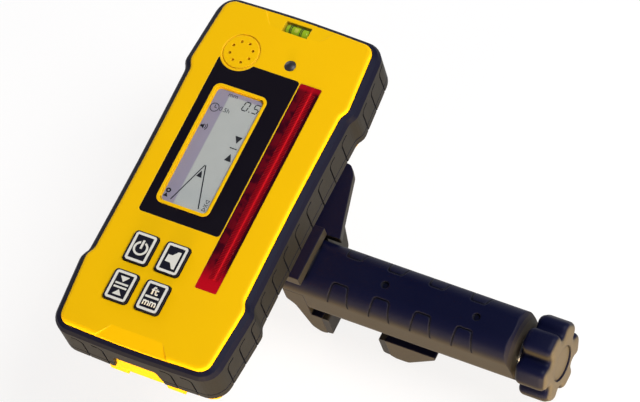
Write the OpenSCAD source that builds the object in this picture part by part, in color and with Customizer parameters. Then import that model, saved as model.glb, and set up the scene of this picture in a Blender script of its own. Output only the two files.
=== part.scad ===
// Hand-held laser receiver with a screw clamp for a levelling rod.
// Lengths are in millimetres. The display faces +Z, the level vial end is +Y
// and the clamp reaches out along +X to its knob. The origin is on the fixed
// jaw's bearing face, in the middle of the stretch that a rod rests against.

/* [Housing] */
// Height of the yellow face, from end to end
face_h = 165; // [150:1:180]
// Width of the yellow face at its waist
waist_w = 71.5; // [66:0.5:80]
// Width of the yellow face where the bumpers start
bulge_w = 75.6; // [70:0.2:84]
// Width of the yellow face at its ends
end_w = 70.5; // [64:0.5:78]
// Height of the narrow waist
waist_h = 92; // [80:1:104]
// Length of the step from the waist to a bumper
step_h = 3.5; // [2:0.5:6]
// How far the waist draws in at its middle
waist_bow = 0.6; // [0.2:0.1:1.5]
// How far the ends curve out at their middle
end_bow = 1.2; // [0.4:0.1:2]
// Corner radius of the yellow face
corner_r = 5.5; // [4:0.5:12]
// Thickness of the housing from back to face
housing_t = 36; // [32:0.5:44]
// Distance from the back to the joint between the shells
joint_z = 17; // [14:0.5:20]
// Wall of both shells
wall = 2.4; // [1.6:0.1:3]
// Height of the bevel round the back
back_bevel = 8; // [6:0.5:9]

/* [Rubber bumpers] */
// Thickness of the rubber over the shells' sides
rubber_t = 3.6; // [2:0.1:5]
// Thickness of the rubber over the shells' ends
rubber_end = 2.6; // [1.6:0.1:4]
// Height of the rubber's bevelled front lip
lip_h = 3.4; // [2:0.1:5]
// Height of the rubber's rear edge above the back
rubber_rear = 12; // [9.5:0.5:13]
// Depth of the grip grooves
groove_depth = 0.7; // [0.3:0.1:1.2]
// Width of a grip groove
groove_w = 0.8; // [0.5:0.1:1.5]
// Distance between grip grooves along the waist
waist_pitch = 11.2; // [9:0.2:14]
// Distance between grip grooves on the bumpers and the ends
bumper_pitch = 9.6; // [8:0.2:12]
// Width of the thumb opening in the rubber at the lower end
thumb_w = 20; // [16:1:28]
// Height of that opening above the back
thumb_h = 24; // [18:1:26]

/* [Face] */
// Width of the receiver window
window_w = 10; // [8:0.5:14]
// Height of the receiver window
window_h = 102; // [80:1:110]
// Distance of the receiver window's middle from the centre line
window_x = 18.2; // [14:0.1:20]
// Height of the receiver window's middle above the housing's middle
window_y = 3.5; // [-4:0.5:8]
// Width of the display label
label_w = 38.6; // [30:0.2:42]
// Width of the frame round the display
frame_w = 25.3; // [20:0.1:30]
// Width of that frame's rim
frame_rim = 1.3; // [0.8:0.1:2]
// Diameter of the buzzer's disc
buzzer_d = 17; // [12:0.5:20]
// Diameter of the strobe sensor's lens
sensor_d = 5; // [3:0.2:8]
// Diameter of the level vial
vial_d = 6; // [4:0.2:8]
// Length of the level vial
vial_l = 12; // [9:0.5:18]

/* [Buttons] */
// Width of a button
button_w = 11.2; // [8:0.1:12]
// Height of a button
button_h = 14.3; // [10:0.1:15.5]
// Distance between button columns
button_pitch_x = 15; // [13.4:0.1:17]
// Distance between button rows
button_pitch_y = 18.8; // [16.6:0.1:20]
// How far a button stands out of the face
button_proud = 1.1; // [0.7:0.1:1.5]
// How far a button travels
button_travel = 0.6; // [0.4:0.1:1]
// Clearance round a button
button_gap = 0.3; // [0.2:0.05:0.5]

/* [Power] */
// Diameter of a cell
cell_d = 14.5; // [10:0.1:14.5]
// Length of a cell
cell_l = 50.5; // [44:0.1:50.5]
// Distance between the cells' axes
cell_pitch = 15.6; // [14.6:0.1:18]
// Thickness of the battery door
door_t = 2; // [1.4:0.1:2.4]

/* [Clamp] */
// Width of the clamp's barrel
barrel_w = 26; // [22:0.5:32]
// Depth of the clamp's barrel
barrel_t = 28; // [26:0.5:34]
// Corner radius of the barrel
barrel_r = 9; // [3:0.5:10]
// Distance from the housing's centre line to the barrel's end
barrel_end = 126; // [120:0.5:140]
// Thickness of the foot between barrel and housing
foot_t = 5.5; // [3:0.5:8]
// Diameter of the lead screw
screw_d = 8; // [6:0.5:9]
// Reach of the jaws behind the barrel
jaw_reach = 16; // [12:0.5:20]
// Gap between the jaws as drawn
jaw_gap = 24; // [22:0.5:30]
// Length of the moving jaw along the barrel
jaw_l = 27; // [24:0.5:32]
// Height of the fin that lines the fixed jaw up with a rod
fin_h = 34; // [24:1:44]
// Thickness of the jaw pads
pad_t = 3; // [2:0.25:4]

/* [Knob] */
// Radius of the knob over its lobes
knob_r = 17.5; // [16:0.5:24]
// Thickness of the knob
knob_t = 14.5; // [13:0.5:24]
// Number of lobes
knob_lobes = 6; // [5:1:8]
// Radius of the cap in the knob's end
cap_r = 8; // [6:0.2:9]

/* [Fits] */
// Radial clearance of a turning or sliding fit
run_fit = 0.05; // [0.02:0.01:0.1]
// Clearance between pieces that move past each other
free_gap = 0.4; // [0.3:0.05:0.6]

/* [Hidden] */
$fn = 48;
eps = 0.01;
over = 2;

half_h = face_h / 2;
buttons_x = -8.6;
buttons_y = -half_h + 33.65;
label_x = window_x - window_w / 2 - 0.65 - label_w / 2;
label_top = half_h - 27.6;
label_bottom = buttons_y + (button_pitch_y + button_h) / 2 + 9;
label_h = label_top - label_bottom;
label_y = (label_top + label_bottom) / 2;
label_t = 0.6;
frame_h = label_h - 18.2;
frame_x = label_x - 2.1;
frame_y = label_y - 2.9;
buzzer_x = label_x - 11.2;
buzzer_y = half_h - 23;
sensor_x = 5.1;
sensor_y = half_h - 22;
vial_y = half_h - 5.2;
inner_z = housing_t - wall;
board_z = 23;
board_t = 1.6;
board_w = waist_w - 9;
board_top = half_h - 16.5;
board_bottom = -half_h + 14.5;
post_r = 3;
post_x = board_w / 2 - 3.4;
post_ys = [board_bottom + 37, board_top - 19];
pilot_r = 1.1;
diode_stand = 5;
diode_w = 4.4;
diode_t = 2.2;
boss_r = 3.2;
boss_x = end_w / 2 - 10.5;
boss_y = half_h - 11;
flange_t = 1;
flange_w = 1;
stem_d = 5;
switch_w = 6;
switch_h = 4.3;
bay_gap = 0.4;
bay_w = cell_pitch + cell_d + 2 * bay_gap;
contact_t = 1.2;
bay_h = cell_l + 2 * contact_t + 2 * bay_gap;
door_bottom = -half_h;
door_end = door_bottom + end_bow;
tab_t = 3.6;
bay_bottom = door_end + tab_t + free_gap + 1.5;
bay_top = bay_bottom + bay_h;
contact_w = 11;
cell_z = door_t + 0.6 + cell_d / 2;
bay_roof = cell_z + cell_d / 2 + bay_gap;
door_w = bay_w + 5;
hinge_r = 1.5;
hinge_z = hinge_r + 0.9;
hinge_room = 0.9;
knuckle_r = hinge_r + 1.2;
hinge_y = bay_top + knuckle_r + 0.6;
knuckle_l = door_w - 6;
lug_y = hinge_y - knuckle_r - hinge_room;
plate_end = hinge_y - sqrt(pow(hinge_y - lug_y + free_gap, 2) + pow(hinge_z, 2));
tab_w = thumb_w - 2;
tab_h = back_bevel;
step_r = 5;
bow_r = 500;
waist_bow_r = 1400;
lip_flat = 0.3;
bevel_knee_z = back_bevel * 0.3;
bevel_knee = back_bevel * 0.32;
bevel_in = back_bevel * 0.7;
face_roll = 1.4;
lip_z = housing_t - face_roll - 0.2;

insert_r = 3.6;
insert_l = 9;
clamp_y = hinge_y + knuckle_r + 0.6 + barrel_w / 2;
barrel_z = -foot_t - barrel_t / 2;
barrel_back = -foot_t - barrel_t;
screw_z = barrel_z - 4;
jaw_x = 45;
jaw_tip = barrel_back - jaw_reach;
rod_z = (barrel_back + jaw_tip) / 2;
origin = [jaw_x, clamp_y, rod_z];
dimple_xs = [72, 115];
dimple_r = 1.7;
dimple_depth = 1;
dome_steps = 8;
arches = 4;
arch_x = 54;
arch_pitch = 19.5;
arch_w = 10;
arch_h = 9;
arch_line = 0.6;
arch_depth = 0.4;
arch_in = 4;
foot_left = -26;
foot_right = 38;
saddle_x0 = 27;
saddle_x1 = 37;
saddle_top = barrel_z + 4;
tongue_x = 16;
clamp_screw_xs = [foot_left + 8, tongue_x - 8];
jaw_screw_y = 6;
jaw_screw_r = 1.6;
jaw_head_r = 3;
jaw_head_t = 2.8;
jaw_head_z = 3.4;
jaw_screw_z = saddle_top - 5;
moving_x = jaw_x + jaw_gap;
carriage_l = 18;
carriage_x = moving_x + pad_t + 3;
channel_half = 7.4;
carriage_half = channel_half - 0.2;
neck_half = 5;
neck_l = 12;
close_travel = 20;
open_travel = 24;
channel_x0 = carriage_x - close_travel - 1.5;
channel_x1 = carriage_x + carriage_l + open_travel + 1.5;
bush_r = screw_d / 2 + 2;
journal_r = screw_d / 2 - 1;
journal_l = 8;
neck_r = 9.5;
neck_end = barrel_end + 9;
washer_t = 0.8;
knob_x = neck_end + washer_t + 1.5;
pin_x = knob_x + 4;
pin_r = 1.25;
hub_r = 8.5;
knob_end = knob_x + knob_t;
cap_t = 2.5;

// Everything is drawn from the middle of the housing's back and then brought to the origin
module placed() {
    translate(-origin) children();
}

function unit(v) = v / norm(v);

// Points of a closed outline whose corners are [x, y, radius], listed anticlockwise. A corner may
// carry its own number of steps as a fourth value.
function rounded(corners, steps = 6) = [
    for (i = [0 : len(corners) - 1])
        let (
            n = len(corners),
            b = [corners[i][0], corners[i][1]],
            before = corners[(i + n - 1) % n],
            after = corners[(i + 1) % n],
            u = unit([before[0], before[1]] - b),
            v = unit([after[0], after[1]] - b),
            half = acos(u * v) / 2,
            r = corners[i][2],
            count = len(corners[i]) > 3 ? corners[i][3] : steps,
            centre = b + unit(u + v) * (r / sin(half)),
            start = b + u * (r / tan(half)) - centre,
            a0 = atan2(start[1], start[0]),
            turn = (u[0] * v[1] - u[1] * v[0] < 0 ? 1 : -1) * (180 - 2 * half)
        )
        for (k = [0 : count])
            centre + r * [cos(a0 + turn * k / count), sin(a0 + turn * k / count)]
];

// Outline of the housing, grown outwards by e at its sides and by ends at its ends
function housing_side(e, ends) = [
    [0, -half_h - ends, bow_r, 3],
    [end_w / 2 + e, -half_h + end_bow - ends, max(corner_r + e, 1), 8],
    [bulge_w / 2 + e, -waist_h / 2 - step_h, step_r, 2],
    [waist_w / 2 + e, -waist_h / 2, step_r, 2],
    [waist_w / 2 - waist_bow + e, 0, waist_bow_r, 2],
    [waist_w / 2 + e, waist_h / 2, step_r, 2],
    [bulge_w / 2 + e, waist_h / 2 + step_h, step_r, 2],
    [end_w / 2 + e, half_h - end_bow + ends, max(corner_r + e, 1), 8],
];
function housing_outline(e, ends) = rounded(concat(
    housing_side(e, ends),
    [for (c = housing_side(e, ends)) [-c[0], -c[1], c[2], c[3]]]
));

// The housing's outline as a straight-sided solid
module prism(z0, z1, e) {
    translate([0, 0, z0]) linear_extrude(z1 - z0) polygon(housing_outline(e, e));
}

// All that lies between two heights
module slab(z0, z1) {
    translate([0, 0, z0]) linear_extrude(z1 - z0) square(3 * face_h, center = true);
}

// A rectangle with round corners, centred on the axis
module plate(w, h, r) {
    for (x = [-1, 1], y = [-1, 1])
        translate([x * (w / 2 - r), y * (h / 2 - r)]) circle(r);
    square([w, h - 2 * r], center = true);
    square([w - 2 * r, h], center = true);
}

// Joins rings of equal point counts, given as [height, points], into one solid
module skin(rings) {
    n = len(rings[0][1]);
    points = [for (ring = rings) for (p = ring[1]) [p[0], p[1], ring[0]]];
    sides = [
        for (j = [0 : len(rings) - 2]) for (i = [0 : n - 1])
            let (a = j * n + i, b = j * n + (i + 1) % n)
            for (f = [[a, a + n, b], [b, a + n, b + n]]) f
    ];
    bottom = [for (i = [0 : n - 1]) i];
    top = [for (i = [0 : n - 1]) len(points) - 1 - i];
    polyhedron(points, concat([bottom], sides, [top]), convexity = 8);
}

// Turns a profile drawn in X and Z into a solid that runs along Y
module along_y(y0, y1) {
    translate([0, y1, 0]) rotate([90, 0, 0]) linear_extrude(y1 - y0) children();
}

// Turns a profile drawn in Y and Z into a solid that runs along X
module along_x(x0, x1) {
    translate([x0, 0, 0]) rotate([90, 0, 90]) linear_extrude(x1 - x0) children();
}

// A cylinder on the lead screw's axis
module on_screw(x0, x1, r) {
    translate([x0, clamp_y, screw_z]) rotate([0, 90, 0]) cylinder(h = x1 - x0, r = r);
}

module at_buttons() {
    for (column = [0, 1], row = [0, 1]) at_button(column, row) children();
}

module at_button(column, row) {
    translate([buttons_x + (column - 0.5) * button_pitch_x, buttons_y + (0.5 - row) * button_pitch_y, 0])
        children();
}

module at_posts() {
    for (x = [-post_x, post_x], y = post_ys) translate([x, y, 0]) children();
}

module at_bosses() {
    for (x = [-boss_x, boss_x], y = [-boss_y, boss_y]) translate([x, y, 0]) children();
}

// Sloping facet at one end of the face
module end_facet() {
    slope = 7;
    translate([0, half_h - 7.2, housing_t]) rotate([-slope, 0, 0])
        linear_extrude(over) polygon([[-12, 0], [12, 0], [19, 9], [-19, 9]]);
}

module front_shell() {
    color("gold") placed() difference() {
        intersection() {
            skin([
                [joint_z - over, housing_outline(0, 0)],
                [housing_t - face_roll, housing_outline(0, 0)],
                [housing_t - face_roll * 0.4, housing_outline(-face_roll * 0.2, -face_roll * 0.2)],
                [housing_t - face_roll * 0.1, housing_outline(-face_roll * 0.6, -face_roll * 0.6)],
                [housing_t + face_roll * 0.1, housing_outline(-face_roll * 1.8, -face_roll * 1.8)],
            ]);
            slab(joint_z, housing_t);
        }
        difference() {
            prism(joint_z - over, inner_z, -wall);
            at_posts() translate([0, 0, board_z + board_t]) cylinder(h = inner_z, r = post_r);
            at_bosses() cylinder(h = inner_z + over, r = boss_r);
            translate([0, vial_y, inner_z - 6]) linear_extrude(over * 4)
                square([vial_l + 4, 8], center = true);
        }
        at_posts() translate([0, 0, board_z]) cylinder(h = 8 + board_t, r = pilot_r);
        at_bosses() translate([0, 0, joint_z - eps]) cylinder(h = 10, r = 1.2);
        for (m = [0, 1]) mirror([0, m, 0]) end_facet();
        translate([label_x, label_y, housing_t - label_t]) linear_extrude(over) label_shape(0.05);
        translate([frame_x, frame_y, inner_z - eps]) linear_extrude(wall + over)
            plate(frame_w - 2 * frame_rim - 1, frame_h - 2 * frame_rim - 1, 2);
        translate([window_x, window_y, inner_z - eps]) linear_extrude(wall + over)
            plate(window_w + 0.1, window_h + 0.1, 0.6);
        at_buttons() translate([0, 0, inner_z - eps]) linear_extrude(wall + over)
            plate(button_w + 2 * button_gap, button_h + 2 * button_gap, 1.9);
        translate([buzzer_x, buzzer_y, 0]) buzzer_face();
        translate([sensor_x, sensor_y, inner_z - eps]) cylinder(h = wall + over, d = sensor_d + 0.1);
        translate([0, vial_y, housing_t - vial_d / 2]) rotate([0, 90, 0])
            cylinder(h = vial_l + 0.1, d = vial_d + 0.1, center = true);
        translate([0, vial_y, housing_t]) cube([vial_l + 0.1, vial_d - 0.6, 3], center = true);
    }
}

// Ring groove and sound holes over the buzzer
module buzzer_face() {
    ring_w = 0.7;
    hole_ring = 5;
    holes = 8;
    translate([0, 0, housing_t - 0.5]) difference() {
        cylinder(h = over, d = buzzer_d);
        translate([0, 0, -eps]) cylinder(h = over + 1, d = buzzer_d - 2 * ring_w);
    }
    for (i = [0 : holes - 1]) rotate(i * 360 / holes + 22.5) translate([hole_ring, 0, inner_z - eps])
        cylinder(h = wall + over, d = 1.3);
}

module label_shape(e) {
    difference() {
        plate(label_w + 2 * e, label_h + 2 * e, 1.6);
        translate([buzzer_x - label_x, buzzer_y - label_y]) circle(d = buzzer_d + 1.6 - 2 * e);
    }
}

// How far the back's bevel draws in at a height, steep first and then flatter towards the back
function back_inset(z) = z > bevel_knee_z
    ? bevel_knee * (back_bevel - z) / (back_bevel - bevel_knee_z)
    : bevel_knee + (bevel_in - bevel_knee) * (bevel_knee_z - z) / bevel_knee_z;

// Outside of the rear shell with its bevelled back, carried on past both its ends
module rear_form() {
    skin([
        [-1, housing_outline(-back_inset(-1), -back_inset(-1))],
        [bevel_knee_z, housing_outline(-bevel_knee, -bevel_knee)],
        [back_bevel, housing_outline(0, 0)],
        [housing_t, housing_outline(0, 0)],
    ]);
}

module rear_shell() {
    color("gold") placed() difference() {
        union() {
            difference() {
                intersection() {
                    rear_form();
                    slab(0, joint_z);
                }
                prism(back_bevel, joint_z + over, -wall);
                prism(wall, back_bevel + eps, -wall - bevel_knee);
            }
            bay_block(door_bottom + wall / 2, joint_z);
            bay_block(door_bottom + end_bow + wall + free_gap, bay_roof + wall);
            at_bosses() translate([0, 0, wall]) cylinder(h = joint_z - wall, r = boss_r);
            at_clamp_screws() translate([0, 0, wall]) cylinder(h = insert_l, r = insert_r + wall);
        }
        at_bosses() translate([0, 0, -eps]) {
            cylinder(h = joint_z + 1, r = 1.3);
            cylinder(h = 7, r = 2.5);
        }
        translate([-bay_w / 2, bay_bottom, -eps]) cube([bay_w, bay_h, bay_roof + eps]);
        door_space();
        at_clamp_screws() translate([0, 0, -eps]) cylinder(h = insert_l + eps, r = insert_r);
    }
}

// Block that the battery bay is cut from
module bay_block(start, top) {
    stop = hinge_y + knuckle_r + wall + 1;
    translate([-bay_w / 2 - wall, start, wall]) cube([bay_w + 2 * wall, stop - start, top - wall]);
}

// Recess that the battery door, its hinge and its finger tab fill
module door_space() {
    gap = free_gap;
    translate([-door_w / 2 - gap, door_bottom - over, -eps])
        cube([door_w + 2 * gap, lug_y - door_bottom + over, door_t + gap / 2]);
    translate([-knuckle_l / 2 - gap, lug_y - gap, -eps])
        cube([knuckle_l + 2 * gap, hinge_y - lug_y + gap, door_t + gap / 2]);
    on_hinge(knuckle_l + 2 * gap, knuckle_r + hinge_room);
    on_hinge(door_w, hinge_r + run_fit);
    translate([-tab_w / 2 - gap, door_bottom - over, -eps])
        cube([tab_w + 2 * gap, over + end_bow + tab_t + gap, tab_h + gap]);
}

// A cylinder on the battery door's hinge
module on_hinge(length, r) {
    translate([0, hinge_y, hinge_z]) rotate([0, 90, 0]) cylinder(h = length, r = r, center = true);
}

module battery_door() {
    ribs = 5;
    rib_pitch = 3;
    color("gold") placed() difference() {
        union() {
            along_x(-door_w / 2, door_w / 2) polygon([
                [plate_end, 0],
                [plate_end, door_t],
                [door_end + back_inset(door_t), door_t],
                [door_end + back_inset(0), 0],
            ]);
            translate([-knuckle_l / 2, lug_y - 2 * door_t, 0])
                cube([knuckle_l, hinge_y - lug_y + 2 * door_t, door_t]);
            intersection() {
                on_hinge(knuckle_l, knuckle_r);
                translate([-door_w / 2, hinge_y - door_w / 2, 0]) cube(door_w);
            }
            along_x(-tab_w / 2, tab_w / 2) polygon([
                [door_end + tab_t, door_t * 0.9],
                [door_end + tab_t, tab_h],
                [door_end, tab_h],
                [door_end + bevel_knee, bevel_knee_z],
                [door_end + back_inset(door_t * 0.9), door_t * 0.9],
            ]);
            for (i = [0 : ribs - 1]) translate([-tab_w / 2, door_end + 10 + i * rib_pitch, -0.4])
                cube([tab_w, 1.2, 1]);
        }
        on_hinge(door_w + over, hinge_r);
    }
}

module door_hinge_pin() {
    color("silver") placed() on_hinge(door_w - 0.4, hinge_r);
}

// Places children at the middle of each cell, with the second cell turned end for end
module at_cells() {
    for (s = [-1, 1]) translate([s * cell_pitch / 2, (bay_top + bay_bottom) / 2, cell_z])
        rotate([s * 90, 0, 0]) children();
}

module batteries() {
    nub_r = 2.7;
    nub_h = 1.2;
    color("dimgray") placed() at_cells() {
        translate([0, 0, -cell_l / 2]) cylinder(h = cell_l - nub_h, d = cell_d);
        translate([0, 0, cell_l / 2 - nub_h - eps]) cylinder(h = nub_h + eps, r = nub_r);
    }
}

module battery_contacts() {
    color("silver") placed() for (s = [-1, 1], x = [-1, 1])
        translate([x * cell_pitch / 2, (bay_top + bay_bottom) / 2 + s * (bay_h - contact_t) / 2, cell_z])
        rotate([90, 0, 0]) linear_extrude(contact_t, center = true) plate(contact_w, contact_w, 2);
}

// One grip groove, drawn across the rubber's thickness: a line that hooks over at its front end
module groove_line(tip) {
    bend = 2.6;
    low = 10;
    high = 28.4;
    translate([-groove_w / 2, low]) square([groove_w, high - bend - low]);
    translate([tip * bend, high - bend]) difference() {
        circle(bend + groove_w / 2);
        circle(bend - groove_w / 2);
        translate([tip > 0 ? 0 : -9, -9]) square([9, 18]);
        translate([-9, -9]) square([18, 9]);
    }
    translate([tip > 0 ? bend : -bend - 2.4, high - groove_w / 2]) square([2.4, groove_w]);
}

// Cuts one groove into a surface at x that faces +X
module groove_cut(x, y, turn, tip) {
    translate([x, y, 0]) rotate([0, 0, turn]) translate([-groove_depth, 0, 0]) rotate([90, 0, 90])
        linear_extrude(groove_depth + over) groove_line(tip);
}

module grip_grooves() {
    swell = bulge_w / 2 + rubber_t;
    start = waist_h / 2 + step_h;
    taper = atan((bulge_w - end_w) / 2 / (half_h + rubber_end - start));
    waist_count = floor(waist_h / 2 / waist_pitch);
    bumper_count = floor((half_h - corner_r / 2 - start - 4.5) / bumper_pitch);
    for (m = [0, 1]) mirror([m, 0, 0]) {
        for (i = [-waist_count : waist_count - 1]) let (y = 3.6 + waist_pitch * i)
            groove_cut(waist_w / 2 - waist_bow * (1 - 2 * abs(y) / waist_h) + rubber_t, y, 0, 1);
        for (i = [0 : bumper_count]) let (y = start + 4.5 + bumper_pitch * i) {
            groove_cut(swell - (y - start) * tan(taper), y, taper, 1);
            groove_cut(swell - (y - start) * tan(taper), -y, -taper, 1);
        }
    }
    for (end = [-1, 1], step = [-2.5, -1.5, 1.9, 2.9]) let (x = step * bumper_pitch) rotate(end * 90)
        groove_cut(half_h - 2 * end_bow * abs(x) / end_w + rubber_end - 0.4, -end * x, 0, end);
}

// Share of the rubber's thickness left at a point of its front lip
function lip_out(thickness, share) = lip_flat + share * (thickness - lip_flat);

// Outside of both bumpers together
module rubber_form() {
    difference() {
        skin([
            [rubber_rear - 1, housing_outline(rubber_t - 1.6, rubber_end - 2.2)],
            [rubber_rear + 1, housing_outline(rubber_t - 0.2, rubber_end - 0.8)],
            [lip_z - lip_h, housing_outline(rubber_t, rubber_end)],
            [lip_z - lip_h * 0.35, housing_outline(lip_out(rubber_t, 0.6), lip_out(rubber_end, 0.6))],
            [lip_z + lip_h * 0.5, housing_outline(lip_out(rubber_t, -0.86), lip_out(rubber_end, -0.86))],
        ]);
        slab(-over, rubber_rear);
        grip_grooves();
        thumb_cut();
    }
}

// Opening in the rubber for the battery door's finger tab
module thumb_cut() {
    along_y(-half_h - 2 * rubber_end, -half_h + 6) polygon(rounded([
        [-thumb_w / 2 - 5, -over, 0.5],
        [thumb_w / 2 + 5, -over, 0.5],
        [thumb_w / 2 + 3, 8, 4],
        [thumb_w / 2, thumb_h, 2],
        [-thumb_w / 2, thumb_h, 2],
        [-thumb_w / 2 - 3, 8, 4],
    ]));
}

module front_bumper() {
    color("#1b1c24") placed() difference() {
        rubber_form();
        prism(-over, housing_t + over, 0);
        slab(-over, joint_z);
        slab(lip_z, housing_t + over);
    }
}

module rear_bumper() {
    seam = 0.5;
    color("#1b1c24") placed() difference() {
        rubber_form();
        rear_form();
        slab(joint_z - seam, housing_t + over);
    }
}

module display_label() {
    color("#15101a") placed() translate([label_x, label_y, housing_t - label_t]) difference() {
        linear_extrude(label_t) label_shape(0);
        translate([frame_x - label_x, frame_y - label_y, -eps]) linear_extrude(label_t + over)
            plate(frame_w - 0.8, frame_h - 0.8, 2.8);
    }
}

module display_frame() {
    proud = 0.4;
    color("gold") placed() translate([frame_x, frame_y, housing_t - label_t]) difference() {
        union() {
            linear_extrude(label_t) plate(frame_w - 0.8, frame_h - 0.8, 2.8);
            translate([0, 0, label_t]) linear_extrude(proud) plate(frame_w, frame_h, 3.2);
        }
        translate([0, 0, -eps]) linear_extrude(label_t + proud + over)
            plate(frame_w - 2 * frame_rim, frame_h - 2 * frame_rim, 2);
    }
}

module display_window() {
    color("#c8ccc8", 0.4) placed() translate([frame_x, frame_y, housing_t - label_t])
        linear_extrude(label_t + 0.1) plate(frame_w - 2 * frame_rim, frame_h - 2 * frame_rim, 2);
}

module lcd_panel() {
    panel_t = 2.4;
    color("#b4b8b2") placed() translate([frame_x, frame_y, inner_z - panel_t])
        linear_extrude(panel_t) plate(frame_w + 2, frame_h + 2, 1);
}

module receiver_window() {
    flange = 1.2;
    color("#c8102e") placed() translate([window_x, window_y, 0]) {
        translate([0, 0, inner_z - 1]) linear_extrude(1)
            plate(window_w + 2 * flange, window_h + 2 * flange, 1);
        translate([0, 0, inner_z]) linear_extrude(wall + 0.1) plate(window_w, window_h, 0.6);
    }
}

module photodiode_board() {
    color("darkgreen") placed() translate([window_x, window_y, board_z + board_t])
        linear_extrude(diode_stand) square([1.4, window_h - 2], center = true);
}

module photodiodes() {
    count = 17;
    pitch = (window_h - 6) / count;
    color("#302028") placed() for (i = [0 : count - 1])
        translate([window_x, window_y + (i - (count - 1) / 2) * pitch, board_z + board_t + diode_stand])
        linear_extrude(diode_t) square([diode_w, pitch - 1.2], center = true);
}

module main_board() {
    color("darkgreen") placed() difference() {
        translate([0, (board_top + board_bottom) / 2, board_z]) linear_extrude(board_t)
            plate(board_w, board_top - board_bottom, 3);
        at_posts() translate([0, 0, board_z - 1]) cylinder(h = board_t + 2, r = 1.3);
    }
}

module board_screws() {
    color("silver") placed() at_posts() {
        translate([0, 0, board_z - 1.6]) cylinder(h = 1.6, r = 2.2);
        translate([0, 0, board_z - eps]) cylinder(h = 8, r = pilot_r);
    }
}

module buzzer() {
    color("#202020") placed() translate([buzzer_x, buzzer_y, inner_z - 5]) difference() {
        cylinder(h = 5, d = buzzer_d - 3);
        translate([0, 0, 4]) cylinder(h = over, d = buzzer_d - 5);
    }
}

module strobe_sensor_lens() {
    color("#202428") placed() translate([sensor_x, sensor_y, 0]) {
        translate([0, 0, inner_z - 1]) cylinder(h = 1, d = sensor_d + 2);
        translate([0, 0, inner_z]) cylinder(h = wall, d = sensor_d);
        translate([0, 0, housing_t]) intersection() {
            translate([0, 0, -sensor_d * 0.6]) sphere(d = sensor_d * 1.56);
            cylinder(h = 2, d = sensor_d);
        }
    }
}

module level_vial() {
    glass = 0.7;
    color("#d8f0d0", 0.5) placed() translate([0, vial_y, housing_t - vial_d / 2]) rotate([0, 90, 0])
        difference() {
            cylinder(h = vial_l, d = vial_d, center = true);
            cylinder(h = vial_l - 2 * glass, d = vial_d - 2 * glass, center = true);
        }
}

module vial_fluid() {
    glass = 0.7;
    color("#40d040") placed() translate([0, vial_y, housing_t - vial_d / 2]) rotate([0, 90, 0])
        cylinder(h = vial_l - 2 * glass, d = vial_d - 2 * glass, center = true);
}

// One key: a cap that stands out of the face, a flange that keeps it in, and a stem to its switch
module button() {
    cap_base = inner_z - 0.1;
    translate([0, 0, cap_base - eps]) linear_extrude(housing_t + button_proud - cap_base + eps)
        plate(button_w, button_h, 1.6);
    translate([0, 0, cap_base - flange_t]) linear_extrude(flange_t)
        plate(button_w + 2 * flange_w, button_h + 2 * flange_w, 1.6);
    stem_base = board_z + board_t + switch_h + button_travel + 0.1;
    translate([0, 0, stem_base]) cylinder(h = cap_base - stem_base, d = stem_d);
}

module power_button() {
    color("#17151c") placed() at_button(0, 0) button();
}

module volume_button() {
    color("#17151c") placed() at_button(1, 0) button();
}

module accuracy_button() {
    color("#17151c") placed() at_button(0, 1) button();
}

module units_button() {
    color("#17151c") placed() at_button(1, 1) button();
}

module key_switches() {
    color("#303034") placed() at_buttons() translate([0, 0, board_z + board_t]) {
        linear_extrude(switch_h - 1) square(switch_w, center = true);
        translate([0, 0, switch_h - 1 - eps]) cylinder(h = 1 + eps, d = 3.4);
    }
}

module shell_screws() {
    color("silver") placed() at_bosses() {
        translate([0, 0, 4.4]) cylinder(h = 2.6, r = 2.4);
        translate([0, 0, 7 - eps]) cylinder(h = joint_z + 8 - 7, r = 1.2);
    }
}

module at_clamp_screws() {
    for (x = clamp_screw_xs) translate([x, clamp_y, 0]) children();
}

module clamp_inserts() {
    color("goldenrod") placed() at_clamp_screws() difference() {
        cylinder(h = insert_l, r = insert_r);
        translate([0, 0, -eps]) cylinder(h = insert_l + over, r = 2.5);
    }
}

module clamp_screws() {
    head_t = 2.8;
    color("silver") placed() at_clamp_screws() {
        translate([0, 0, -foot_t - head_t]) difference() {
            cylinder(h = head_t, r = 4.2);
            translate([0, 0, -eps]) cylinder(h = 1.8, r = 2.3, $fn = 6);
        }
        translate([0, 0, -foot_t - eps]) cylinder(h = foot_t + 8, r = 2.5);
    }
}

module barrel_section(e) {
    translate([clamp_y, barrel_z]) plate(barrel_w + 2 * e, barrel_t + 2 * e, barrel_r + e);
}

// Round form that takes the barrel's end down to its neck
module barrel_dome() {
    reach = norm([barrel_w / 2, barrel_t / 2 + barrel_z - screw_z]);
    fall = neck_end - barrel_end;
    translate([saddle_x0, clamp_y, screw_z]) rotate([0, 90, 0]) rotate_extrude() polygon([
        [0, 0],
        [reach, 0],
        for (i = [0 : dome_steps]) let (a = 90 * i / dome_steps)
            [neck_r + (reach - neck_r) * cos(a), barrel_end - saddle_x0 + fall * sin(a)],
        [0, neck_end - saddle_x0],
    ]);
}

// Arched lines cut into the barrel's two long front edges
module edge_grooves() {
    intersection() {
        difference() {
            along_x(saddle_x1, barrel_end) barrel_section(1);
            along_x(saddle_x0, neck_end) barrel_section(-arch_depth);
        }
        for (m = [-1, 1], i = [0 : arches - 1])
            translate([arch_x + i * arch_pitch, clamp_y + m * (barrel_w / 2 - arch_in), -foot_t - arch_in])
            rotate([m * -45, 0, 0]) rotate(m > 0 ? 180 : 0) linear_extrude(barrel_t) arch();
    }
}

// One arched line, seen square on to the edge it is cut in
module arch() {
    difference() {
        polygon(rounded(arch_outline(0)));
        polygon(rounded(arch_outline(-arch_line)));
        translate([-arch_w, -2 * arch_h]) square([2 * arch_w, arch_h]);
    }
}

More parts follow.
